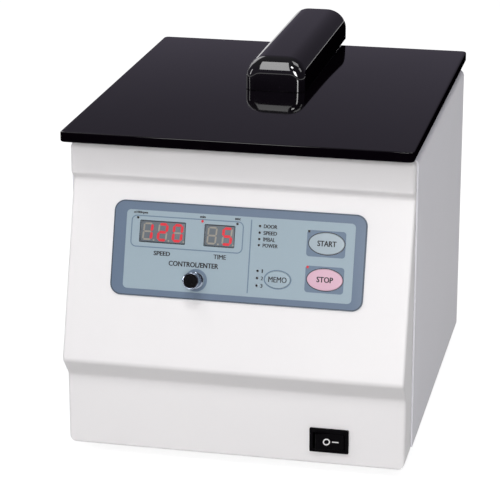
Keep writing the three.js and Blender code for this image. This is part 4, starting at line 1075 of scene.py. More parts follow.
@dataclass
class FrontMoulding:
    """The white front moulding: strip, bulge, inclined face, notch and top band."""

    half_width: float = 123.4
    back: float = -127.296
    foot: float = 8.0
    top: float = 230.1
    edge: float = 2.2
    foot_radius: float = 6.0
    top_radius: float = 5.0
    corner_steps: int = 6
    piece_length: float = 2.0  # about how long the pieces are that the side view is cut into
    # y, z and radius of each corner, from the foot up
    line: tuple[Point, ...] = (
        (-155.496, foot, 1.2),
        (-155.496, 61.5, 5.0),
        (-168.496, 76.7, 5.0),
        (-128.996, 202.0, 3.0),
        (-134.996, 207.0, 3.0),
        (-134.996, top, 4.5),
    )
    # the rounding's stations, from each side inwards
    stations: tuple[float, ...] = (0.0, 0.12, 0.35, 0.7, 1.2, 1.7, 2.2, 2.8, 3.5, 4.3, 5.1, 6.0)
    hollow_half: float = 120.1
    hollow: tuple[Span, ...] = (
        (-152.496, 11.0),
        (-152.496, 60.4),
        (-165.3, 77.1),
        (-126.0, 201.7),
        (-131.996, 206.8),
        (-131.996, 225.9),
        (-120.0, 225.9),
        (-120.0, 11.0),
    )
    switch_hole: Sides = (55.8, 82.4, 18.7, 34.3)
    switch_hole_radius: float = 0.6
    strip_cut: Span = (-160.0, -148.0)  # from before the strip to behind it
    incline_cut: Span = (-4.5, 1.0)  # from behind the incline to before it
    key_stem_hole: float = 3.0
    knob_hole: float = 4.5

    def profile(self, inset: float, drop: float, lift: float) -> Outline:
        """Gives the side view at one place across the width.

        Args:
            inset: How far the front face is set back there.
            drop: How far the top is lowered.
            lift: How far the foot is raised.

        Returns:
            The outline in y and z.
        """
        ends = [(self.back, self.top, 0.0), (self.back, self.foot, 0.0)]
        front = [(y + inset, z, radius) for y, z, radius in self.line]
        plain = rounded([*self.line, *ends], self.corner_steps)
        points = rounded([*front, *ends], self.corner_steps)
        low, high = self.foot + lift, self.top - drop
        dense: Outline = []
        for k, (u0, v0) in enumerate(points):
            after = (k + 1) % len(points)
            u1, v1 = points[after]
            parts = max(1, round(math.dist(plain[k], plain[after]) / self.piece_length))
            u, v = u1 - u0, v1 - v0
            dense += [(u0 + u * i / parts, v0 + v * i / parts) for i in range(parts)]
        return [(u, min(max(v, low), high)) for u, v in dense]

    def skin(self, name: str) -> Piece:
        """Builds the outer form.

        Args:
            name: Name of the piece.

        Returns:
            The closed form.
        """
        places = [(-self.half_width + d, d) for d in self.stations]
        places += [(self.half_width - d, d) for d in reversed(self.stations)]
        rings = []
        for x, d in places:
            inset = fall(self.edge, d)
            outline = self.profile(inset, fall(self.top_radius, d), fall(self.foot_radius, d))
            rings.append([(x, y, z) for y, z in outline])
        return loft(name, rings)

    def build(self) -> None:
        """Builds and dresses the moulding."""
        inner = rounded([(y, z, 0.0) for y, z in self.hollow])
        switch = rectangle(*self.switch_hole, self.switch_hole_radius)
        cutters = [
            prism("hollow", inner, -self.hollow_half, self.hollow_half, Way.ACROSS.value),
            prism("switch_hole", switch, *self.strip_cut, Way.BACK.value),
        ]
        for window in PLAN.windows:
            name = f"{window.name}_window_hole"
            cutters.append(prism(name, window.outline(), *self.incline_cut, PANEL))
        stems = [(key.x, key.y, self.key_stem_hole) for key in PLAN.keys]
        for k, (x, y, radius) in enumerate([*stems, (*PLAN.knob, self.knob_hole)]):
            hole = circle(radius, 32, x, y)
            cutters.append(prism(f"stem_hole_{k}", hole, *self.incline_cut, PANEL))
        cover = carve(self.skin("front_moulding"), *cutters)
        fit(cover, "root", "white_abs", WHITE_ABS, "front_cover")


@dataclass
class BodyShell:
    """The sheet-metal shell behind the seam: deck, sides and rear wall."""

    half_width: float = 124.6
    front: float = -126.996
    rear: float = 138.004
    foot: float = 14.0
    deck: float = 230.1
    wall: float = 2.5
    side_radius: float = 5.0
    least_side_radius: float = 0.5
    deck_radius: float = 8.0
    corner_radius: float = 6.0
    lip: float = 0.25
    overrun: float = 3.0  # how far the inside is cut past the seam and the foot
    # the rounding's stations, from the rear wall forwards
    stations: tuple[float, ...] = (0.0, 0.15, 0.5, 1.0, 1.7, 2.6, 3.6, 4.8, 6.0, 7.2, 8.0)
    mouth_radius: float = 106.2
    deck_cut: Span = (225.0, 235.0)
    lock_slot: Sides = (-3.0, 3.0, -117.496, -103.496)
    slot_corner: float = 0.5
    rear_opening: Sides = (-87.0, 87.0, 29.0, 141.0)
    opening_corner: float = 2.0
    rear_cut: Span = (130.0, 145.0)

    def form(self, name: str, inward: float, front: float, foot: float, lip: float) -> Piece:
        """Builds the outer or the inner form.

        Args:
            name: Name of the piece.
            inward: How far it lies inside the outer form.
            front: Where it begins.
            foot: Its lower edge.
            lip: Radius of the edge at the seam.

        Returns:
            The closed form.
        """
        rear = self.rear - inward
        stations = [(front + along, inset, self.deck_radius) for inset, along in roll(lip, 4)]
        stations += [(rear - d, 0.0, d) for d in reversed(self.stations)]
        rings = []
        for y, inset, d in stations:
            half = self.half_width - inward - inset - fall(self.corner_radius - inward, d)
            top = self.deck - inward - inset - fall(self.deck_radius - inward, d)
            radius = max(self.side_radius - inward - inset, self.least_side_radius)
            outline = rounded(
                [(-half, foot, 0.0), (half, foot, 0.0), (half, top, radius), (-half, top, radius)]
            )
            rings.append([(x, y, z) for x, z in outline])
        return loft(name, rings)

    def build(self) -> None:
        """Builds and dresses the shell."""
        shell = self.form("body_shell", 0.0, self.front, self.foot, self.lip)
        front, foot = self.front - self.overrun, self.foot - self.overrun
        inner = self.form("inner", self.wall, front, foot, 0.0)
        mouth = prism("mouth", circle(self.mouth_radius, 160, 0.0, AXIS_Y), *self.deck_cut)
        lock = rectangle(*self.lock_slot, self.slot_corner)
        slot = prism("slot", lock, *self.deck_cut)
        panel = rectangle(*self.rear_opening, self.opening_corner)
        opening = prism("opening", panel, *self.rear_cut, Way.BACK.value)
        carve(shell, inner, mouth, slot, opening)
        fit(shell, "root", "grey_shell", SHELL_ENAMEL, "body_cover")


@dataclass
class Lid:
    """The glossy lid plate with its bar handle."""

    half_width: float = 125.0
    front: float = -155.496
    rear: float = 142.504
    low: float = 235.1
    high: float = 242.5
    corner: float = 4.0
    edge: float = 1.1
    handle_half: float = 22.8
    handle_front: float = -15.496
    handle_rear: float = 168.504
    handle_low: float = 242.8
    handle_high: float = 267.5
    handle_corner: float = 15.6
    corner_steps: int = 12
    handle_foot: float = 0.15  # radius of the corners on the lid
    corner_share: float = 0.85  # how much the corners shrink as the top rolls down
    end_length: float = 12.5
    end_steps: int = 14
    front_rolls: Span = (12.4, 6.5)  # at the top and at the sides
    rear_rolls: Span = (9.0, 5.5)
    rear_share: float = 0.72  # the rear end's length, as a share of the front end's
    plate_polish: float = 0.47  # see dull
    handle_polish: float = 0.38

    def dull(self, piece: Piece, polished: Vector, reach: float) -> None:
        """Gives a piece's sides the finish of a cut edge.

        Args:
            piece: The piece.
            polished: 1 for each axis that the polished faces look along, otherwise 0.
            reach: How far a face's normal still has to look along them to be polished.
        """
        piece.data.materials.append(CUT_ACRYLIC.material())
        for face in piece.data.polygons:
            if (face.normal * polished).length < reach:
                face.material_index = 1

    def plate(self) -> None:
        """Builds the flat plate."""
        half = self.half_width
        outline = partial(rectangle, -half, half, self.front, self.rear, self.corner)
        made = slab("lid_sheet", outline, self.low, self.high, self.edge, self.edge)
        fit(made, "lid", "black_gloss", LID_ACRYLIC, "lid_plate")
        self.dull(made, Vector((0.0, 0.0, 1.0)), self.plate_polish)

    def handle(self) -> None:
        """Builds the bar, whose front end is a flat face under a wide rolled edge."""
        quarter = math.pi / 2 / self.end_steps
        ends = [self.end_length * (1 - math.sin(quarter * k)) for k in range(self.end_steps + 1)]
        ends.reverse()
        stations = [(self.handle_front + d, d, *self.front_rolls) for d in ends]
        behind = [d * self.rear_share for d in reversed(ends)]
        stations += [(self.handle_rear - d, d, *self.rear_rolls) for d in behind]
        rings = []
        for y, d, top_roll, side_roll in stations:
            half, low = self.handle_half - fall(side_roll, d), self.handle_low
            high = self.handle_high - fall(top_roll, d)
            foot, corner = self.handle_foot, self.handle_corner
            corner -= self.corner_share * fall(top_roll, d)
            lower = [(-half, low, foot), (half, low, foot)]
            upper = [(half, high, corner), (-half, high, corner)]
            outline = rounded([*lower, *upper], self.corner_steps)
            rings.append([(x, y, z) for x, z in outline])
        bar = fit(loft("bar_handle", rings), "lid", "black_gloss", HANDLE_ACRYLIC, "lid_handle")
        self.dull(bar, Vector((0.0, 1.0, 1.0)), self.handle_polish)

    def build(self) -> None:
        """Builds the lid's own pieces."""
        self.plate()
        self.handle()


@dataclass
class Lettering:
    """Words printed on a face. Each word is fitted into a width and a height."""

    place: Matrix
    low: float
    high: float
    parts: list[Piece] = field(default_factory=list)
    shift: float = 0.2  # between the two prints of a heavy word
    curve_steps: int = 3

    def word(
        self,
        text: str,
        left: float,
        right: float,
        middle: float,
        height: float,
        bold: float = 0.004,
    ) -> None:
        """Adds a word.

        Args:
            text: The word.
            left: Where it begins.
            right: Where it ends.
            middle: Height of its middle.
            height: Height of its capitals.
            bold: How far the strokes are widened, as a share of the font's size.
        """
        curve = bpy.data.curves.new(f"word_{len(self.parts)}", "FONT")
        curve.body = text
        curve.extrude = 0.5  # to each side, so that the word is 1 deep before it is fitted
        curve.offset = bold
        curve.resolution_u = self.curve_steps
        holder = put(curve.name, curve)
        graph = bpy.context.evaluated_depsgraph_get()
        mesh = bpy.data.meshes.new_from_object(holder.evaluated_get(graph))
        bpy.data.objects.remove(holder)
        bpy.data.curves.remove(curve)
        xs = [v.co.x for v in mesh.vertices]
        ys = [v.co.y for v in mesh.vertices]
        wide, tall = (right - left) / (max(xs) - min(xs)), height / (max(ys) - min(ys))
        fitted = (
            Matrix.Translation(((left + right) / 2, middle, (self.low + self.high) / 2))
            @ Matrix.Diagonal((wide, tall, self.high - self.low, 1))
            @ Matrix.Translation((-(max(xs) + min(xs)) / 2, -(max(ys) + min(ys)) / 2, 0))
        )
        mesh.transform(Matrix.Scale(MM, 4) @ self.place @ fitted)
        self.parts.append(put(mesh.name, mesh))

    def heavy_word(
        self, text: str, left: float, right: float, middle: float, height: float, bold: float
    ) -> None:
        """Prints a word twice, the second a little to the right, for heavier strokes."""
        for shift in (0.0, self.shift):
            self.word(text, left + shift, right + shift, middle, height, bold)

    def finish(self, name: str) -> Piece:
        """Puts all the words into one piece."""
        return gather(name, self.parts)


@dataclass(frozen=True)
class SevenSegments:
    """The digits of a display: slanted bars with pointed ends, and a decimal point."""

    half_width: float = 2.9
    half_height: float = 5.6
    gap: float = 0.18
    lean: float = 0.07
    pitch: float = 10.9
    lit_stroke: float = 1.9
    unlit_stroke: float = 1.2
    point: Point = (4.6, -5.9, 0.62)  # place by the digit, and radius

    def lit(self, digit: str) -> str:
        """Gives the letters of the segments that show a digit."""
        return {"": "", "0": "abcdef", "1": "bc", "2": "abged", "5": "afgcd"}[digit]

    def outlines(self, x: float, y: float, stroke: float) -> dict[str, Outline]:
        """Gives the outlines of one digit's seven segments.

        Args:
            x: Middle of the digit, sideways.
            y: Middle of the digit, upwards.
            stroke: Width of a segment.

        Returns:
            The outline of each segment, by its usual letter.
        """
        u, v, s = self.half_width, self.half_height, stroke / 2

        def level(height: float) -> Outline:
            """A segment that lies."""
            a, b, h = x - u + self.gap, x + u - self.gap, y + height
            return [(a, h), (a + s, h + s), (b - s, h + s), (b, h), (b - s, h - s), (a + s, h - s)]

        def upright(side: float, low: float, high: float) -> Outline:
            """A segment that stands."""
            a, b, c = y + low + self.gap, y + high - self.gap, x + side
            return [(c, a), (c + s, a + s), (c + s, b - s), (c, b), (c - s, b - s), (c - s, a + s)]

        parts = {
            "a": level(v),
            "g": level(0.0),
            "d": level(-v),
            "b": upright(u, 0.0, v),
            "c": upright(u, -v, 0.0),
            "f": upright(-u, 0.0, v),
            "e": upright(-u, -v, 0.0),
        }
        return {key: [(a + self.lean * (b - y), b) for a, b in part] for key, part in parts.items()}


@dataclass
class ControlPanel:
    """The membrane panel: film, printed fields, windows with digits, keys and lamps.

    Every print is a thin layer. The layers are given by their height over the incline.
    """

    width: float = 182.2
    height: float = 67.7
    corner: float = 8.0
    film: Span = (0.3, 1.3)
    film_edge: float = 0.35
    through: Span = (-2.0, 4.0)  # cuts go from behind the film to before it
    window_corner: float = 0.5
    knob_hole: float = 4.5
    pale_field: Sides = (-81.7, 83.0, -28.7, 27.3)
    pale_corner: float = 3.0
    pale_layer: Span = (1.25, 1.36)
    # the dark band round the film's edge, a painted shadow
    edge_shadow: Span = (0.3, 0.95)  # its two sides, from the film's edge
    edge_shadow_layer: Span = (1.24, 1.33)
    display_line: Sides = (-78.1, 3.5, 0.9, 23.6)
    display_corner: float = 4.0
    line_width: float = 0.75
    separator: Sides = (8.4, 9.2, -26.3, 25.5)
    line_layer: Span = (1.30, 1.42)
    key_gap: float = 0.3
    key_rim: float = 0.75
    rim_layer: Span = (1.38, 1.48)
    key_fields: tuple[Sides, ...] = ((49.0, 76.6, 2.6, 21.1), (49.3, 76.8, -22.55, -3.9))
    key_field_corner: float = 2.2
    knob_ring: Span = (8.0, 5.8)
    mark_layer: Span = (1.38, 1.46)
    lens: Span = (-12.1, 1.0)
    lens_gap: float = 0.3
    lens_corner: float = 0.6
    lens_edge: float = 0.25
    frame: Span = (0.35, -0.1)  # its two sides, from the window's edge
    frame_corner: float = 0.8
    frame_layer: Span = (1.2, 1.5)
    digit_layer: Span = (0.95, 1.06)
    legend_layer: Span = (1.97, 2.05)
    cap: Span = (0.8, 2.0)
    cap_rim: float = 0.15
    cap_edge: float = 0.3
    cap_steps: int = 72
    stem: Span = (-3.7, 1.2)
    stem_radius: float = 2.4
    digits: SevenSegments = SevenSegments()
    # radius and height of a lamp's lens
    lamp: tuple[Span, ...] = ((0.0, 1.3), (0.92, 1.3), (0.92, 1.5), (0.65, 1.62), (0.0, 1.68))
    unlit: tuple[Span, ...] = (
        (-73.4, 21.8),
        (-1.2, 21.8),
        (15.1, 21.4),
        (15.1, 16.7),
        (15.1, 12.2),
        (15.1, 7.9),
        (15.3, -10.1),
        (15.3, -15.2),
        (15.3, -20.5),
        (50.3, 20.1),
    )
    lit: tuple[Span, ...] = ((-26.5, 22.0), (50.7, -4.9))

    def holes(self) -> list[Piece]:
        """Makes the cutters for the windows, the keys and the knob.

        Returns:
            The cutters, in that order.
        """
        outlines = [window.outline(0.0, self.window_corner) for window in PLAN.windows]
        outlines += [key.outline(self.key_gap) for key in PLAN.keys]
        outlines.append(circle(self.knob_hole, 64, *PLAN.knob))
        return [prism(f"cut_{k}", cut, *self.through, PANEL) for k, cut in enumerate(outlines)]

    def outline(self, inset: float) -> Outline:
        """Draws the film's outline, moved inwards."""
        w, h = self.width / 2, self.height / 2
        return rectangle(-w, w, -h, h, self.corner, inset)

    def sheet(self) -> None:
        """Builds the film with its pale field and a dark band round its edge, which is painted
        shadow.
        """
        film = slab("panel_film", self.outline, *self.film, 0.0, self.film_edge, PANEL)
        fit(carve(film, *self.holes()), "root", "panel_film", PANEL_FRAME_FILM, "membrane_panel")
        area = rectangle(*self.pale_field, self.pale_corner)
        pale = prism("panel_field", area, *self.pale_layer, PANEL)
        fit(carve(pale, *self.holes()), "root", "panel_film", PANEL_FIELD_INK)
        # The dark band round the edge is painted shadow.
        outer, inner = (self.outline(inset) for inset in self.edge_shadow)
        edge_shadow = band("panel_border", outer, inner, *self.edge_shadow_layer, PANEL)
        fit(edge_shadow, "root", "panel_film", EDGE_SHADOW_INK)

    def lines(self) -> None:
        """Builds the printed lines, the keys' fields and rims, and the ring round the knob."""
        start, stop, memo = PLAN.keys
        layer = (*self.line_layer, PANEL)
        box = (*self.display_line, self.display_corner)
        inner = memo.outline(self.key_gap)
        outer = memo.outline(self.key_gap + self.line_width)
        slate = [
            band("display_line", rectangle(*box), rectangle(*box, self.line_width), *layer),
            prism("separator", rectangle(*self.separator), *layer),
            band("memo_line", outer, inner, *layer),
        ]
        fit(gather("panel_lines", slate), "root", "panel_film", OUTLINE_INK)
        rims = []
        for key, sides in zip((start, stop), self.key_fields):
            area = rectangle(*sides, self.key_field_corner)
            inner = key.outline(self.key_gap)
            square = prism(f"{key.name}_field", area, *layer)
            hole = prism("key_hole", inner, *self.through, PANEL)
            fit(carve(square, hole), "root", "panel_film", SLATE_INK)
            outer = key.outline(self.key_rim)
            rims.append(band(f"{key.name}_rim", outer, inner, *self.rim_layer, PANEL))
        fit(gather("key_rims", rims), "root", "panel_film", BLACK_INK)
        outer, inner = (circle(radius, 64, *PLAN.knob) for radius in self.knob_ring)
        ring = band("knob_mark", outer, inner, *self.mark_layer, PANEL)
        fit(ring, "root", "panel_film", SLATE_INK)

    def displays(self) -> None:
        """Builds the two windows with their digits."""
        readings = {"speed": ("1", "2", "0"), "time": ("", "5")}
        for window in PLAN.windows:
            name = window.name
            outline = partial(window.outline, -self.lens_gap, self.lens_corner)
            lens = slab(f"{name}_lens", outline, *self.lens, 0.0, self.lens_edge, PANEL)
            fit(lens, "root", "display_lens", DISPLAY_LENS, f"{name}_display")
            outer, inner = (window.outline(rim, self.frame_corner) for rim in self.frame)
            frame = band(f"{name}_frame", outer, inner, *self.frame_layer, PANEL)
            fit(frame, "root", "panel_film", DARK_BLUE_INK)
            self.reading(name, window.x, window.y, readings[name])

    def reading(self, name: str, x: float, y: float, shown: Sequence[str]) -> None:
        """Builds the segments of one display.

        Args:
            name: The display.
            x: Its middle, sideways.
            y: Its middle, upwards.
            shown: What each place shows, from the left.
        """
        lit, dark = [], []
        layer = (*self.digit_layer, PANEL)
        for k, digit in enumerate(shown):
            middle = x + (k - (len(shown) - 1) / 2) * self.digits.pitch
            for letter in "abcdefg":
                on = letter in self.digits.lit(digit)
                stroke = self.digits.lit_stroke if on else self.digits.unlit_stroke
                outline = self.digits.outlines(middle, y, stroke)[letter]
                (lit if on else dark).append(prism(f"{name}_{k}_{letter}", outline, *layer))
            across, down, radius = self.digits.point
            dot = circle(radius, 20, middle + across, y + down)
            dark.append(prism(f"{name}_{k}_point", dot, *layer))
        fit(gather(f"{name}_digits_lit", lit), "root", "display_lens", LIT_SEGMENT)
        fit(gather(f"{name}_digits_unlit", dark), "root", "display_lens", UNLIT_SEGMENT)

    def lamps(self) -> None:
        """Builds the signal lamps, of which two are lit."""
        for name, places, finish in (
            ("unlit_lamps", self.unlit, UNLIT_LAMP),
            ("lit_lamps", self.lit, LIT_SEGMENT),
        ):
            parts = [
                turned(f"lamp_{k}", self.lamp, 24, PANEL @ Matrix.Translation((x, y, 0)))
                for k, (x, y) in enumerate(places)
            ]
            fit(gather(name, parts), "root", "panel_film", finish)

    def words(self) -> None:
        """Builds the printed words."""
        printed = Lettering(PANEL, *self.mark_layer)
        for word in (
            ("CONTROL/ENTER", -49.2, -13.2, -9.1, 3.6, 0.014),
            ("SPEED", -60.6, -48.7, -2.7, 3.1, 0.014),
            ("TIME", -17.0, -8.1, -2.4, 3.2, 0.0),
            ("DOOR", 17.7, 27.3, 21.4, 2.7, 0.014),
            ("SPEED", 17.7, 27.4, 16.7, 2.7, 0.014),
            ("IMBAL", 17.8, 26.3, 12.2, 2.8, 0.0),
            ("POWER", 17.7, 28.4, 7.9, 2.7, 0.008),
            ("1", 18.2, 18.9, -10.1, 2.6, -0.012),
            ("2", 17.8, 19.3, -15.2, 2.6, 0.004),
            ("3", 17.8, 19.3, -20.5, 2.6, 0.004),
            ("x100rpm", -76.9, -66.6, 25.4, 2.2, 0.02),
            ("min", -28.5, -24.5, 25.2, 1.7, 0.02),
            ("sec", -3.2, 0.8, 25.2, 1.5, 0.02),
        ):
            printed.heavy_word(*word)
        fit(printed.finish("panel_words"), "root", "panel_film", BLACK_INK)
        for name, word in (
            ("start", ("START", 56.6, 70.0, 12.1, 4.0, 0.014)),
            ("stop", ("STOP", 57.6, 69.2, -13.1, 4.0, 0.014)),
            ("memo", ("MEMO", 23.4, 36.3, -15.4, 4.0, 0.0)),
        ):
            legend = Lettering(PANEL, *self.legend_layer)
            legend.heavy_word(*word)
            fit(legend.finish(f"{name}_legend"), f"{name}_key", "panel_film", BLACK_INK)

    def caps(self) -> None:
        """Builds the three key caps on their stems."""
        finishes = {"stop": KEY_PINK, "start": KEY_BLUE, "memo": KEY_FIELD}
        for key in PLAN.keys:
            name = key.name
            outline = partial(key.outline, self.cap_rim, self.cap_steps)
            cap = slab(f"{name}_cap", outline, *self.cap, 0.0, self.cap_edge, PANEL)
            shaft = circle(self.stem_radius, 24, key.x, key.y)
            stem = prism(f"{name}_stem", shaft, *self.stem, PANEL)
            slot = "key_pink" if name == "stop" else "key_grey"
            whole = gather(f"{name}_key_cap", [cap, stem])
            fit(whole, f"{name}_key", slot, finishes[name], f"{name}_key")

    def build(self) -> None:
        """Builds the whole panel."""
        self.sheet()
        self.lines()
        self.displays()
        self.lamps()
        self.words()
        self.caps()


@dataclass
class ControlKnob:
    """The turned knob: plated body with a rim, a black face and a fluted grip. The plating's blue
    tint is a painted reflection of the slate panel.
    """

    flutes: int = 36
    ridge: float = 5.28
    valley: float = 5.05
    grip: Span = (5.2, 13.6)
    # radius and height over the incline
    body: tuple[Span, ...] = (
        (0.0, 17.3),
        (4.95, 17.3),
        (5.0, 17.9),
        (5.15, 18.2),
        (5.5, 18.25),
        (5.8, 18.1),
        (5.9, 17.8),
        (5.9, 15.2),
        (5.75, 14.9),
        (5.1, 13.9),
        (5.0, 13.4),
        (5.0, 4.7),
        (5.8, 4.2),
        (5.8, 3.4),
        (3.05, 3.4),
        (3.05, 15.9),
        (0.0, 15.9),
    )
    face: tuple[Span, ...] = ((0.0, 17.25), (4.9, 17.25), (4.9, 17.95), (4.7, 18.1), (0.0, 18.15))

    def build(self) -> None:
        """Builds the knob's three pieces."""
        place = PANEL @ Matrix.Translation((*PLAN.knob, 0.0))
        body = turned("knob_body", self.body, 72, place)
        fit(body, "control_knob", "chrome_plate", NICKEL_PAINTED_BLUE_REFLECTION, "control_knob")
        face = turned("knob_face", self.face, 72, place)
        fit(face, "control_knob", "black_plastic", KNOB_FACE)
        outline = []
        count = 4 * self.flutes  # each flute has two points on its ridge and two in its valley
        for k in range(count):
            radius = self.ridge if k % 4 in (1, 2) else self.valley
            angle = 2 * math.pi * k / count
            outline.append((radius * math.cos(angle), radius * math.sin(angle)))
        grip = prism("knob_grip", outline, *self.grip, place)
        fit(grip, "control_knob", "chrome_plate", NICKEL_PAINTED_BLUE_REFLECTION)


@dataclass
class PowerSwitch:
    """The snap-in power switch: bezel, body and rocker with its two marks."""

    x: float = 69.1
    z: float = 26.5
    face: float = -157.796
    rim: float = 2.0
    rim_edge: float = 0.7
    bezel: Span = (14.1, 9.0)  # half the width and half the height, also of the next two
    block: Span = (13.0, 7.5)
    well: Span = (11.6, 6.3)
    block_depth: Span = (-156.4, -133.5)
    well_depth: Span = (-159.0, -146.4)
    tab: Span = (0.4, 2.4)
    tab_pitch: float = 26 / 3
    tab_depth: Span = (-134.3, -124.5)
    bezel_corner: float = 0.8
    block_corner: float = 0.6
    well_corner: float = 0.5
    tilt: float = math.radians(8)
    pivot: float = 5.0  # behind the face
    half: float = 10.4
    middle: float = -5.6  # the paddle's front, from the pivot
    softness: float = 2.0  # how round the paddle's front is in its middle
    thickness: float = 6.0
    paddle_places: tuple[float, ...] = (-8, -6, -4, -2.5, -1, 0, 1, 2.5, 4, 6, 8)
    nose: Span = (0.5, 0.6)  # how far each end is cut back along it and behind it
    paddle_back: tuple[Span, ...] = ((5.2, 4.0), (-5.2, 4.0))
    paddle_edge: float = 0.5
    bar: Span = (2.3, 0.33)  # half its length and half its width
    bar_corner: float = 0.1
    bar_layer: Span = (-0.02, 0.2)  # from just under the paddle's front
    ring: Span = (2.5, 1.75)  # its two radii
    ring_layer: Span = (-0.02, 0.45)
    mark_places: Span = (4.0, -2.3)
    mark_slope: float = 1.02  # the round middle makes the slopes a little steeper

    def box(
        self, name: str, half: Span, depth: Span, radius: float = 0.0, off: float = 0.0
    ) -> Piece:
        """Draws a box backwards.

        Args:
            name: Name of the piece.
            half: Half the width and half the height.
            depth: Where it begins and ends.
            radius: Radius of its corners.
            off: How far it is right of the switch's middle.

        Returns:
            The new box.
        """
        u, v = half
        x = self.x + off
        sides = rectangle(x - u, x + u, self.z - v, self.z + v, radius)
        return prism(name, sides, *depth, Way.BACK.value)

    def front(self, u: float) -> float:
        """Draws the paddle's front, two slopes with a round middle between them.

        Args:
            u: A place along the paddle.

        Returns:
            How far the front is behind the pivot there.
        """
        share = math.hypot(u, self.softness) - self.softness
        share /= math.hypot(self.half, self.softness) - self.softness
        return self.middle - self.half * math.tan(self.tilt) * share

    def case(self) -> None:
        """Builds the bezel and the body with their well, and the three tabs."""
        u, v = self.bezel
        sides = (self.x - u, self.x + u, self.z - v, self.z + v)
        outline = partial(rectangle, *sides, self.bezel_corner)
        depth = (self.face, self.face + self.rim)
        bezel = slab("switch_bezel", outline, *depth, self.rim_edge, 0.0, Way.BACK.value)
        block = self.box("switch_block", self.block, self.block_depth, self.block_corner)
        for part in (bezel, block):
            carve(part, self.box("well", self.well, self.well_depth, self.well_corner))
        tabs = [
            self.box(f"tab_{k}", self.tab, self.tab_depth, off=k * self.tab_pitch)
            for k in (-1, 0, 1)
        ]
        body = gather("power_switch_case", [bezel, block, *tabs])
        fit(body, "root", "black_plastic", BLACK_NYLON, "power_switch_body")

    def paddle(self, pivot: Matrix) -> None:
        """Builds the rocker, as an outline seen from above.

        Args:
            pivot: The rocker's frame.
        """
        half, end = self.half, self.front(self.half)
        along, behind = self.nose
        outline = [(-half, end + behind), (-half + along, end)]
        outline += [(u, self.front(u)) for u in self.paddle_places]
        outline += [(half - along, end), (half, end + behind), (half, -1.0)]
        outline += [*self.paddle_back, (-half, -1.0)]
        rocker = prism("rocker_paddle", outline, -self.thickness, self.thickness, pivot)
        soften(rocker, self.paddle_edge)
        fit(rocker, "power_rocker", "black_plastic", BLACK_NYLON, "power_rocker")

    def mark_frame(self, pivot: Matrix, u: float, side: int) -> Matrix:
        """Gives the frame of a mark, with z out of the paddle's front.

        Args:
            pivot: The rocker's frame.
            u: Where the mark is along the paddle.
            side: 1 for the right slope, -1 for the left one.

        Returns:
            The mark's frame.
        """
        drop = -self.half * math.tan(self.tilt) * self.mark_slope
        slope = math.atan2(drop, side * self.half)
        if side < 0:
            slope -= math.pi
        return (
            pivot
            @ Matrix.Translation((u, self.front(u), 0))
            @ Matrix.Rotation(slope, 4, "Z")
            @ Matrix.Rotation(math.pi / 2, 4, "X")
        )

    def build(self) -> None:
        """Builds the case over the CAD's switch body, the rocker and its marks."""
        self.case()
        middle = Matrix.Translation((self.x, self.face + self.pivot, self.z))
        pivot = middle @ Matrix.Rotation(self.tilt, 4, "Z")
        self.paddle(pivot)
        u, v = self.bar
        right, left = (
            self.mark_frame(pivot, place, side) for place, side in zip(self.mark_places, (1, -1))
        )
        bar = rectangle(-u, u, -v, v, self.bar_corner)
        on_mark = prism("on_mark", bar, *self.bar_layer, right)
        outer, inner = (circle(radius, 40) for radius in self.ring)
        off_mark = band("off_mark", outer, inner, *self.ring_layer, left)
        for mark in (on_mark, off_mark):
            fit(mark, "power_rocker", "black_plastic", WHITE_INK)


@dataclass
class Chamber:
    """The spun bowl and the rubber ring that the lid closes on."""

    steps: int = 192
    mouth: float = 104.5
    wall: float = 1.2
    floor: float = 168.1
    flange: float = 111.0
    flange_top: float = 231.6
    boot_hole: float = 9.5
    fillet: float = 12.0
    bead: float = 0.6
    bead_heights: tuple[float, ...] = (196.0, 198.0, 200.0, 202.0)

    def bowl(self) -> None:
        """Builds the bowl with its rolled flange and a stiffening bead in its wall."""
        reach = self.mouth - self.fillet
        outer = self.mouth + self.wall
        under = self.flange_top - self.wall
        profile = [(self.boot_hole, self.floor - self.wall)]
        profile += bend(reach, self.floor + self.fillet, self.fillet + self.wall, -90, 0)
        bead = list(zip((0.0, self.bead, self.bead, 0.0), self.bead_heights))
        profile += [(outer + rise, z) for rise, z in bead]
        profile += [(outer, under), (self.flange - 0.4, under), (self.flange, under + 0.4)]
        profile += [(self.flange, self.flange_top - 0.4), (self.flange - 0.4, self.flange_top)]
        profile += [(self.mouth + 0.5, self.flange_top), (self.mouth, self.flange_top - 0.5)]
        profile += [(self.mouth + rise, z) for rise, z in reversed(bead)]
        profile += bend(reach, self.floor + self.fillet, self.fillet, 0, -90)
        profile += [(self.boot_hole, self.floor)]
        made = turned("spun_bowl", profile, self.steps, AXIS, closed=True)
        fit(made, "root", "stainless_steel", STAINLESS, "chamber_bowl")

    def gasket(self) -> None:
        """Builds the ring with the two lips that the liner presses on."""
        profile = [(105.3, 231.9), (110.3, 231.9), (110.3, 233.9), (109.9, 234.5), (109.3, 234.8)]
        profile += [(108.6, 234.6), (108.2, 233.9), (107.4, 233.9), (107.0, 234.6), (106.3, 234.8)]
        profile += [(105.7, 234.5), (105.3, 233.9)]
        made = turned("lip_gasket", profile, self.steps, AXIS, closed=True)
        fit(made, "root", "black_rubber", BLACK_RUBBER, "chamber_gasket")

    def build(self) -> None:
        """Builds the chamber's own pieces."""
        self.bowl()
        self.gasket()


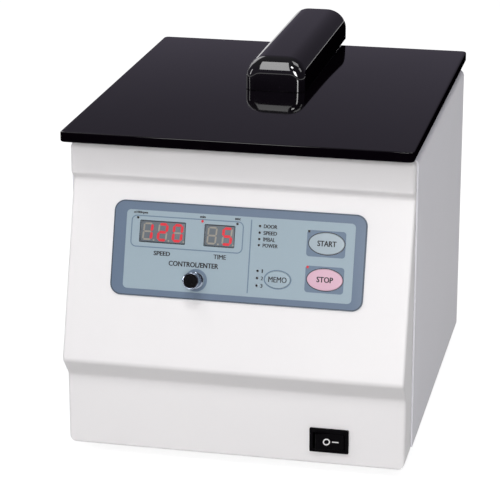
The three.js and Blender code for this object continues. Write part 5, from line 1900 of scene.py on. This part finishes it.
@dataclass
class Rotor:
    """The tube rotor: slotted plate with numbered places, seal, cover and hand knob."""

    places: int = 24
    steps: int = 192
    tray: float = 205.0
    slot_half: float = 1.2
    slot_heights: Span = (202.6, 207.5)
    slot_reach: Span = (17.3, 92.3)
    number_radius: float = 84.0
    number_share: float = 0.35  # of the way to the next slot
    number_height: float = 3.2
    print_height: float = 0.06
    knob_radius: float = 15.0
    knob_heights: Span = (213.2, 227.2)
    bore_radius: float = 4.3
    bore_heights: Span = (212.0, 224.2)
    flutes: int = 12
    flute_radius: float = 2.0
    flute_steps: int = 24

    def turn(self, share: float) -> Matrix:
        """Gives the axis turned on by a number of places."""
        return AXIS @ Matrix.Rotation(2 * math.pi * share / self.places, 4, "Z")

    def plate(self) -> None:
        """Builds the plate with its round-bottomed slots and the number of each."""
        profile = [(5.3, 189.0), (13.5, 189.0), (14.0, 189.5), (14.0, 195.4), (14.6, 196.0)]
        profile += [(88.6, 196.0), (89.4, 196.3), (97.7, 201.8), (98.0, 202.4), (98.0, 208.6)]
        profile += [(97.6, 209.0), (95.4, 209.0), (95.0, 208.6), (95.0, 205.0), (5.3, 205.0)]
        disc = turned("slotted_plate", profile, self.steps, AXIS, closed=True)
        slot = rectangle(-self.slot_half, self.slot_half, *self.slot_heights, 1.1)
        slots = []
        for k in range(self.places):
            place = self.turn(k) @ Way.ACROSS.value
            slots.append(prism(f"slot_{k}", slot, *self.slot_reach, place))
        carve(disc, gather("slots", slots))
        fit(disc, "rotor", "rotor_aluminium", ANODISED, "rotor_plate")
        marks = []
        for k in range(self.places):
            place = (
                self.turn(k + self.number_share)
                @ Matrix.Translation((self.number_radius, 0.0, 0.0))
                @ Matrix.Rotation(math.pi / 2, 4, "Z")
            )
            number = Lettering(place, self.tray, self.tray + self.print_height)
            half = 0.6 if k == 0 else 1.0 if k < 9 else 2.0
            number.word(str(k + 1), -half, half, 0.0, self.number_height)
            marks += number.parts
        fit(gather("place_numbers", marks), "rotor", "rotor_aluminium", BLACK_INK)

    def seal(self) -> None:
        """Builds the ring that the glass tubes rest against."""
        profile = [(92.3, 205.3), (94.7, 205.3), (94.7, 208.2), (94.3, 208.7), (92.9, 208.7)]
        profile += [(92.5, 208.4), (92.3, 207.9)]
        made = turned("tube_ring", profile, 144, AXIS, closed=True)
        fit(made, "rotor", "black_rubber", BLACK_RUBBER, "rotor_seal")

    def cover(self) -> None:
        """Builds the cover with its turned groove and its boss."""
        profile = [(4.6, 209.3), (97.6, 209.3), (98.0, 209.6), (98.0, 210.5), (97.6, 210.9)]
        profile += [(90.3, 210.9), (89.9, 210.5), (88.3, 210.5), (87.9, 210.9), (26.8, 210.9)]
        profile += [(26.0, 211.2), (24.3, 212.6), (23.7, 212.9), (4.6, 212.9)]
        made = turned("turned_cover", profile, self.steps, AXIS, closed=True)
        fit(made, "rotor_cover", "rotor_aluminium", ANODISED, "rotor_cover")

    def knob_outline(self, inset: float) -> Outline:
        """Draws the hand knob's fluted outline.

        Args:
            inset: How far it is moved inwards.

        Returns:
            The outline.
        """
        reach = self.knob_radius + self.flute_radius / 2
        pitch = 2 * math.pi / self.flutes
        count = self.flute_steps * self.flutes
        points: Outline = []
        for k in range(count):
            angle = 2 * math.pi * k / count
            away = abs((angle + pitch / 2) % pitch - pitch / 2)
            side = reach * math.sin(away)
            radius = self.knob_radius
            if side < self.flute_radius:
                depth = math.sqrt(self.flute_radius**2 - side**2)
                radius = min(radius, reach * math.cos(away) - depth)
            radius -= inset
            points.append((radius * math.cos(angle), radius * math.sin(angle)))
        return points

    def knob(self) -> None:
        """Builds the hand knob with its bore and a dished top."""
        made = slab("fluted_hand_knob", self.knob_outline, *self.knob_heights, 0.4, 1.5, AXIS)
        bore = prism("bore", circle(self.bore_radius, 48), *self.bore_heights, AXIS)
        dish = turned("dish", [(0.0, 226.7), (8.6, 226.7), (9.4, 228.0), (0.0, 228.0)], 72, AXIS)
        carve(made, bore, dish)
        fit(made, "rotor_knob", "black_plastic", BLACK_NYLON, "rotor_knob")

    def build(self) -> None:
        """Builds the rotor's own pieces."""
        self.plate()
        self.seal()
        self.cover()
        self.knob()


class Face(Enum):
    """The way that a screw's head looks."""

    DOWN = Matrix.Rotation(math.pi, 4, "X")
    BACK = Matrix.Rotation(-math.pi / 2, 4, "X")


@dataclass
class Fasteners:
    """Pan-head screws with a cross recess, where the CAD has their holes."""

    head: float = 2.6
    rise: float = 1.6
    shank: float = 1.35
    length: float = 3.5
    big_head: float = 3.6
    big_length: float = 14.0
    big_seat: float = 232.3
    greatest_rise: float = 2.0

    def screw(self, name: str, place: Matrix, scale: float = 1.0, length: float = 0.0) -> Piece:
        """Builds one screw, whose seat is at the frame's origin.

        Args:
            name: Name of the screw.
            place: Its frame, with z out of the head.
            scale: Size of the head, as a share of the small one.
            length: Length of the shank, or 0 for the short one.

        Returns:
            The new screw.
        """
        r, h = self.head * scale, min(self.rise * scale, self.greatest_rise)
        shank, length = self.shank * scale, length or self.length
        profile = [(0.0, h), (0.5 * r, 0.95 * h), (0.82 * r, 0.72 * h), (0.97 * r, 0.4 * h)]
        profile += [(r, 0.12 * h), (r, 0.0), (shank, 0.0), (shank, -length), (0.0, -length)]
        made = turned(name, profile, 28, place)
        long, short = 0.62 * r, 0.17 * r
        arms = [
            prism(f"{name}_{k}", rectangle(-u, u, -v, v, 0.1), 0.45 * h, h + 1, place)
            for k, (u, v) in enumerate(((long, short), (short, long)))
        ]
        return carve(made, *arms)

    def group(
        self, name: str, body: str, face: Face, seat: float, places: Sequence[Span]
    ) -> None:
        """Builds the screws of one joint.

        Args:
            name: Name of the group.
            body: The body that they ride on.
            face: The way that their heads look.
            seat: Where the heads rest, in the direction that they look in.
            places: The other two coordinates of each.
        """
        parts = []
        for k, (u, v) in enumerate(places):
            point = (u, seat, v) if face is Face.BACK else (u, v, seat)
            parts.append(self.screw(f"{name}_{k}", Matrix.Translation(point) @ face.value))
        fit(gather(name, parts), body, "plated_steel", PLATED_STEEL)

    def build(self) -> None:
        """Builds all the screws."""
        sides = (-1, 1)
        rear = [(91.0 * s, z) for s in sides for z in (34.6, 85.0, 135.4)]
        fan = [(-47.5 + 26.0 * s, 75.4 + 26.0 * t) for s in sides for t in sides]
        hinge = [(8.47 * s, 221.1 - 22.0 * share) for s in sides for share in (0.27, 0.73)]
        base = [(116.1 * s, y) for s in sides for y in (-95.2, 5.5, 106.2)]
        arm = [(6.35 * s, 161.8) for s in sides]
        striker = [(6.0 * s, -110.5) for s in sides]
        for name, body, face, seat, places in (
            ("rear_panel_screws", "root", Face.BACK, 139.8, rear),
            ("fan_screws", "root", Face.BACK, 141.5, fan),
            ("hinge_screws", "root", Face.BACK, 140.8, hinge),
            ("base_screws", "root", Face.DOWN, 14.0, base),
            ("arm_screws", "lid", Face.DOWN, 240.3, arm),
            ("striker_screws", "lid", Face.DOWN, 233.2, striker),
        ):
            self.group(name, body, face, seat, places)
        scale = self.big_head / self.head
        for name, y in LID_SCREWS.items():
            place = Matrix.Translation((0.0, y, self.big_seat)) @ Face.DOWN.value
            made = self.screw(f"{name}_pan_head", place, scale, self.big_length)
            fit(made, "lid", "plated_steel", PLATED_STEEL, name)


@dataclass
class Underside:
    """What is seen with the lid up or the machine turned over: liner and feet."""

    hole_radius: float = 2.2
    hole_cut: Span = (230.0, 237.0)
    foot_x: float = 94.6
    foot_rows: tuple[tuple[str, float], ...] = (("front", -112.0), ("rear", 108.0))  # along y

    def liner(self) -> None:
        """Builds the pressed liner with its rolled rim and bead."""
        profile = [(0.0, 232.6), (86.0, 232.6), (86.7, 232.9), (88.3, 232.9), (89.0, 232.6)]
        profile += [(101.1, 232.6), (101.8, 232.9), (102.0, 233.5), (102.0, 234.8), (0.0, 234.8)]
        made = turned("pressed_liner", profile, 192, AXIS)
        holes = []
        for name, y in LID_SCREWS.items():
            hole = circle(self.hole_radius, 24, 0.0, y)
            holes.append(prism(f"{name}_hole", hole, *self.hole_cut))
        fit(carve(made, *holes), "lid", "stainless_steel", STAINLESS, "lid_liner")

    def feet(self) -> None:
        """Builds the four rubber feet, each with a recess in it."""
        profile = [(0.0, 6.0), (4.4, 6.0), (4.7, 0.5), (5.3, 0.0), (10.2, 0.0), (10.8, 0.3)]
        profile += [(11.0, 0.9), (10.7, 3.4), (10.4, 3.7), (10.4, 4.3), (10.6, 4.6), (9.3, 15.9)]
        profile += [(8.7, 16.5), (0.0, 16.5)]
        for row, y in self.foot_rows:
            for side, x in (("left", -self.foot_x), ("right", self.foot_x)):
                name = f"foot_{row}_{side}"
                made = turned(f"{name}_turned", profile, 64, Matrix.Translation((x, y, 0.0)))
                fit(made, "root", "black_rubber", BLACK_RUBBER, name)

    def build(self) -> None:
        """Builds the liner and the feet."""
        self.liner()
        self.feet()


@dataclass
class CadDressing:
    """Finishes and edge roundings of the CAD nodes that are shown as they are."""

    nodes: dict[str, Piece]

    def build(self) -> None:
        """Dresses every CAD node that no piece stands for."""
        dampers = [f"motor_damper_{k}" for k in (1, 2, 3)]
        mouldings = ("mains_inlet", "fan_frame", "fan_rotor", "lock_solenoid", "lid_switch")
        table: list[tuple[Finish, float, Sequence[str]]] = [
            (ANODISED, 0.25, ("motor_housing",)),
            (BLACK_RUBBER, 0.3, ("shaft_boot", *dampers)),
            (BLACK_NYLON, 0.3, mouldings),
            (CHROME, 0.0, ("fan_guard", "lock_bolt")),
            (GREEN_BOARD, 0.0, ("control_board", "drive_board")),
            (COPPER_WINDING, 0.0, ("motor_stator",)),
            (SHELL_ENAMEL, 0.3, ("rear_panel",)),
            (BRUSHED_STEEL, 0.25, ("base_plate", "hinge_bracket", "lid_arm", "motor_plate")),
        ]
        for finish, width, names in table:
            for name in names:
                self.dress(name, finish, width)
        for name in sorted(self.nodes):
            node = self.nodes[name]
            if not node.hide_render and "dressed" not in node:
                self.dress(name, PLATED_STEEL, 0.2)

    def dress(self, name: str, finish: Finish, width: float) -> None:
        """Gives one node its finish.

        Args:
            name: The node.
            finish: Its finish.
            width: Width of its edge rounding in millimetres, or 0.
        """
        node = self.nodes[name]
        for slot in node.material_slots:
            slot.link = "OBJECT"
            slot.material = finish.material()
        node["dressed"] = True
        if width:
            soften(node, width, 2, weld=True)
        LOG.info("%s has %s", name, finish.name)


@dataclass(frozen=True)
class Softbox:
    """A rectangular lamp that points at the object, with its sizes and places in metres."""

    name: str
    place: Point
    width: float
    height: float
    power: float  # watts
    across: float = 0.0  # where it points, from left to right
    aim: float = 0.12  # how high it points

    def build(self) -> None:
        """Hangs the lamp."""
        data = bpy.data.lights.new(self.name, "AREA")
        data.shape = "RECTANGLE"
        data.size = self.width
        data.size_y = self.height
        data.energy = self.power
        lamp = put(self.name, data)
        lamp.location = self.place
        aim = Vector((self.across, 0.0, self.aim)) - Vector(self.place)
        lamp.rotation_euler = aim.to_track_quat("-Z", "Y").to_euler()


@dataclass
class Studio:
    """The pale floor, the room, the soft lamps and the camera."""

    floor_half: float = 9.0
    floor_tones: tuple[str, str] = ("#A9A9A9", "#A7A7A7")
    floor_patches: float = 3.0  # scale of the noise between the two tones
    floor_glow: float = 0.83  # added for the camera to the light that falls on the floor
    softboxes: tuple[Softbox, ...] = (
        Softbox("key_softbox", (-0.43, -1.175, 1.69), 0.36, 2.08, 9.5, -0.43),
        Softbox("upper_softbox", (0.15, -1.2, 1.7), 0.3, 0.3, 8.2),
        Softbox("front_strip", (0.47, -2.28, 0.88), 0.5, 0.9, 25.5),
        Softbox("top_softbox", (0.8, 0.3, 2.1), 1.0, 1.0, 8.5),
        Softbox("left_strip", (-1.9, -0.9, 0.8), 0.2, 0.8, 4.0),
        Softbox("side_softbox", (1.0, -0.1, 1.05), 0.4, 0.4, 1.2),
        Softbox("back_softbox", (-1.6, 1.7, 1.3), 1.6, 1.6, 13.0),
    )
    low_tone: Colour = (0.13, 0.118, 0.153, 1.0)
    high_tone: Colour = (0.15, 0.15, 0.16, 1.0)
    rise: Span = (0.45, 0.85)  # heights between which the low tone turns into the high one
    fade: Span = (-0.1, 0.3)  # where the room dims, from left to right
    dimmed: float = 0.5  # the share of its light that is left at the right
    yaw: float = math.radians(12.126)
    pitch: float = math.radians(17.836)
    eye: Point = (0.3145, -1.5476, 0.6529)
    sensor: float = 36.0
    lens: float = 155.66
    shift: Span = (-0.0108, -0.08)
    far: float = 60.0

    def floor(self) -> None:
        """Builds the floor, which the camera sees as white apart from the shadow."""
        mesh = bpy.data.meshes.new("floor")
        h = self.floor_half
        mesh.from_pydata([(-h, -h, 0), (h, -h, 0), (h, h, 0), (-h, h, 0)], [], [(0, 1, 2, 3)])
        material = bpy.data.materials.new("pale_floor")
        tree = empty_tree(material)
        where = add_node(tree, "ShaderNodeTexCoord").outputs["Object"]
        slow = {"Vector": where, "Scale": self.floor_patches}
        patches = add_node(tree, "ShaderNodeTexNoise", inputs=slow).outputs["Fac"]
        tone, shade = self.floor_tones
        greys = {0: patches, 6: linear(tone), 7: linear(shade)}
        colour = add_node(tree, "ShaderNodeMix", {"data_type": "RGBA"}, greys).outputs[2]
        matt = add_node(tree, "ShaderNodeBsdfDiffuse", inputs={"Color": colour})
        path = add_node(tree, "ShaderNodeLightPath")
        seen = path.outputs["Is Camera Ray"]
        for ray in ("Is Glossy Ray", "Is Transmission Ray"):
            either = {0: seen, 1: path.outputs[ray]}
            seen = add_node(tree, "ShaderNodeMath", {"operation": "MAXIMUM"}, either).outputs[0]
        share = {0: seen, 1: self.floor_glow}
        lift = add_node(tree, "ShaderNodeMath", {"operation": "MULTIPLY"}, share).outputs[0]
        glow = add_node(tree, "ShaderNodeEmission", inputs={"Strength": lift})
        parts = {0: matt.outputs[0], 1: glow.outputs[0]}
        both = add_node(tree, "ShaderNodeAddShader", inputs=parts)
        add_node(tree, "ShaderNodeOutputMaterial", inputs={"Surface": both.outputs[0]})
        mesh.materials.append(material)
        floor = put("floor", mesh)

    def world(self) -> None:
        """Makes a room that is dim near the horizon and to the right, and paler overhead."""
        world = bpy.data.worlds.new("room")
        bpy.context.scene.world = world
        tree = empty_tree(world)
        look = add_node(tree, "ShaderNodeTexCoord").outputs["Generated"]
        parts = add_node(tree, "ShaderNodeSeparateXYZ", inputs={0: look})
        low, high = self.rise
        rise = {"Value": parts.outputs["Z"], "From Min": low, "From Max": high}
        height = add_node(
            tree, "ShaderNodeMapRange", {"interpolation_type": "SMOOTHSTEP"}, rise
        ).outputs["Result"]
        tones = {0: height, 6: self.low_tone, 7: self.high_tone}
        tone = add_node(tree, "ShaderNodeMix", {"data_type": "RGBA"}, tones).outputs[2]
        left, right = self.fade
        fade = {
            "Value": parts.outputs["X"],
            "From Min": left,
            "From Max": right,
            "To Min": 1.0,
            "To Max": self.dimmed,
        }
        dim = add_node(tree, "ShaderNodeMapRange", inputs=fade).outputs["Result"]
        light = add_node(tree, "ShaderNodeBackground", inputs={"Color": tone, "Strength": dim})
        add_node(tree, "ShaderNodeOutputWorld", inputs={"Surface": light.outputs[0]})

    def camera(self) -> None:
        """Places the camera at the photograph's viewpoint."""
        ahead, down = math.cos(self.pitch), -math.sin(self.pitch)
        forward = Vector((-math.sin(self.yaw) * ahead, math.cos(self.yaw) * ahead, down))
        right = Vector((math.cos(self.yaw), math.sin(self.yaw), 0.0))
        data = bpy.data.cameras.new("camera")
        data.sensor_width = self.sensor
        data.lens = self.lens
        data.shift_x, data.shift_y = self.shift
        data.clip_end = self.far
        camera = put("camera", data)
        frame = Matrix((right, right.cross(forward), -forward)).transposed().to_4x4()
        frame.translation = self.eye
        camera.matrix_world = frame
        bpy.context.scene.camera = camera

    def build(self) -> None:
        """Builds the stage."""
        self.floor()
        self.world()
        for softbox in self.softboxes:
            softbox.build()
        self.camera()
        bpy.context.scene.view_settings.view_transform = "Standard"


def main() -> None:
    """Builds the centrifuge on its frame."""
    logging.basicConfig(level=logging.INFO, format="%(name)s: %(message)s")
    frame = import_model()
    for assembly in (
        Studio(),
        FrontMoulding(),
        BodyShell(),
        Lid(),
        ControlPanel(),
        ControlKnob(),
        PowerSwitch(),
        Chamber(),
        Rotor(),
        Fasteners(),
        Underside(),
        CadDressing(frame["nodes"]),
    ):
        assembly.build()
        LOG.info("%s is built", type(assembly).__name__)


if __name__ == "__main__":
    main()
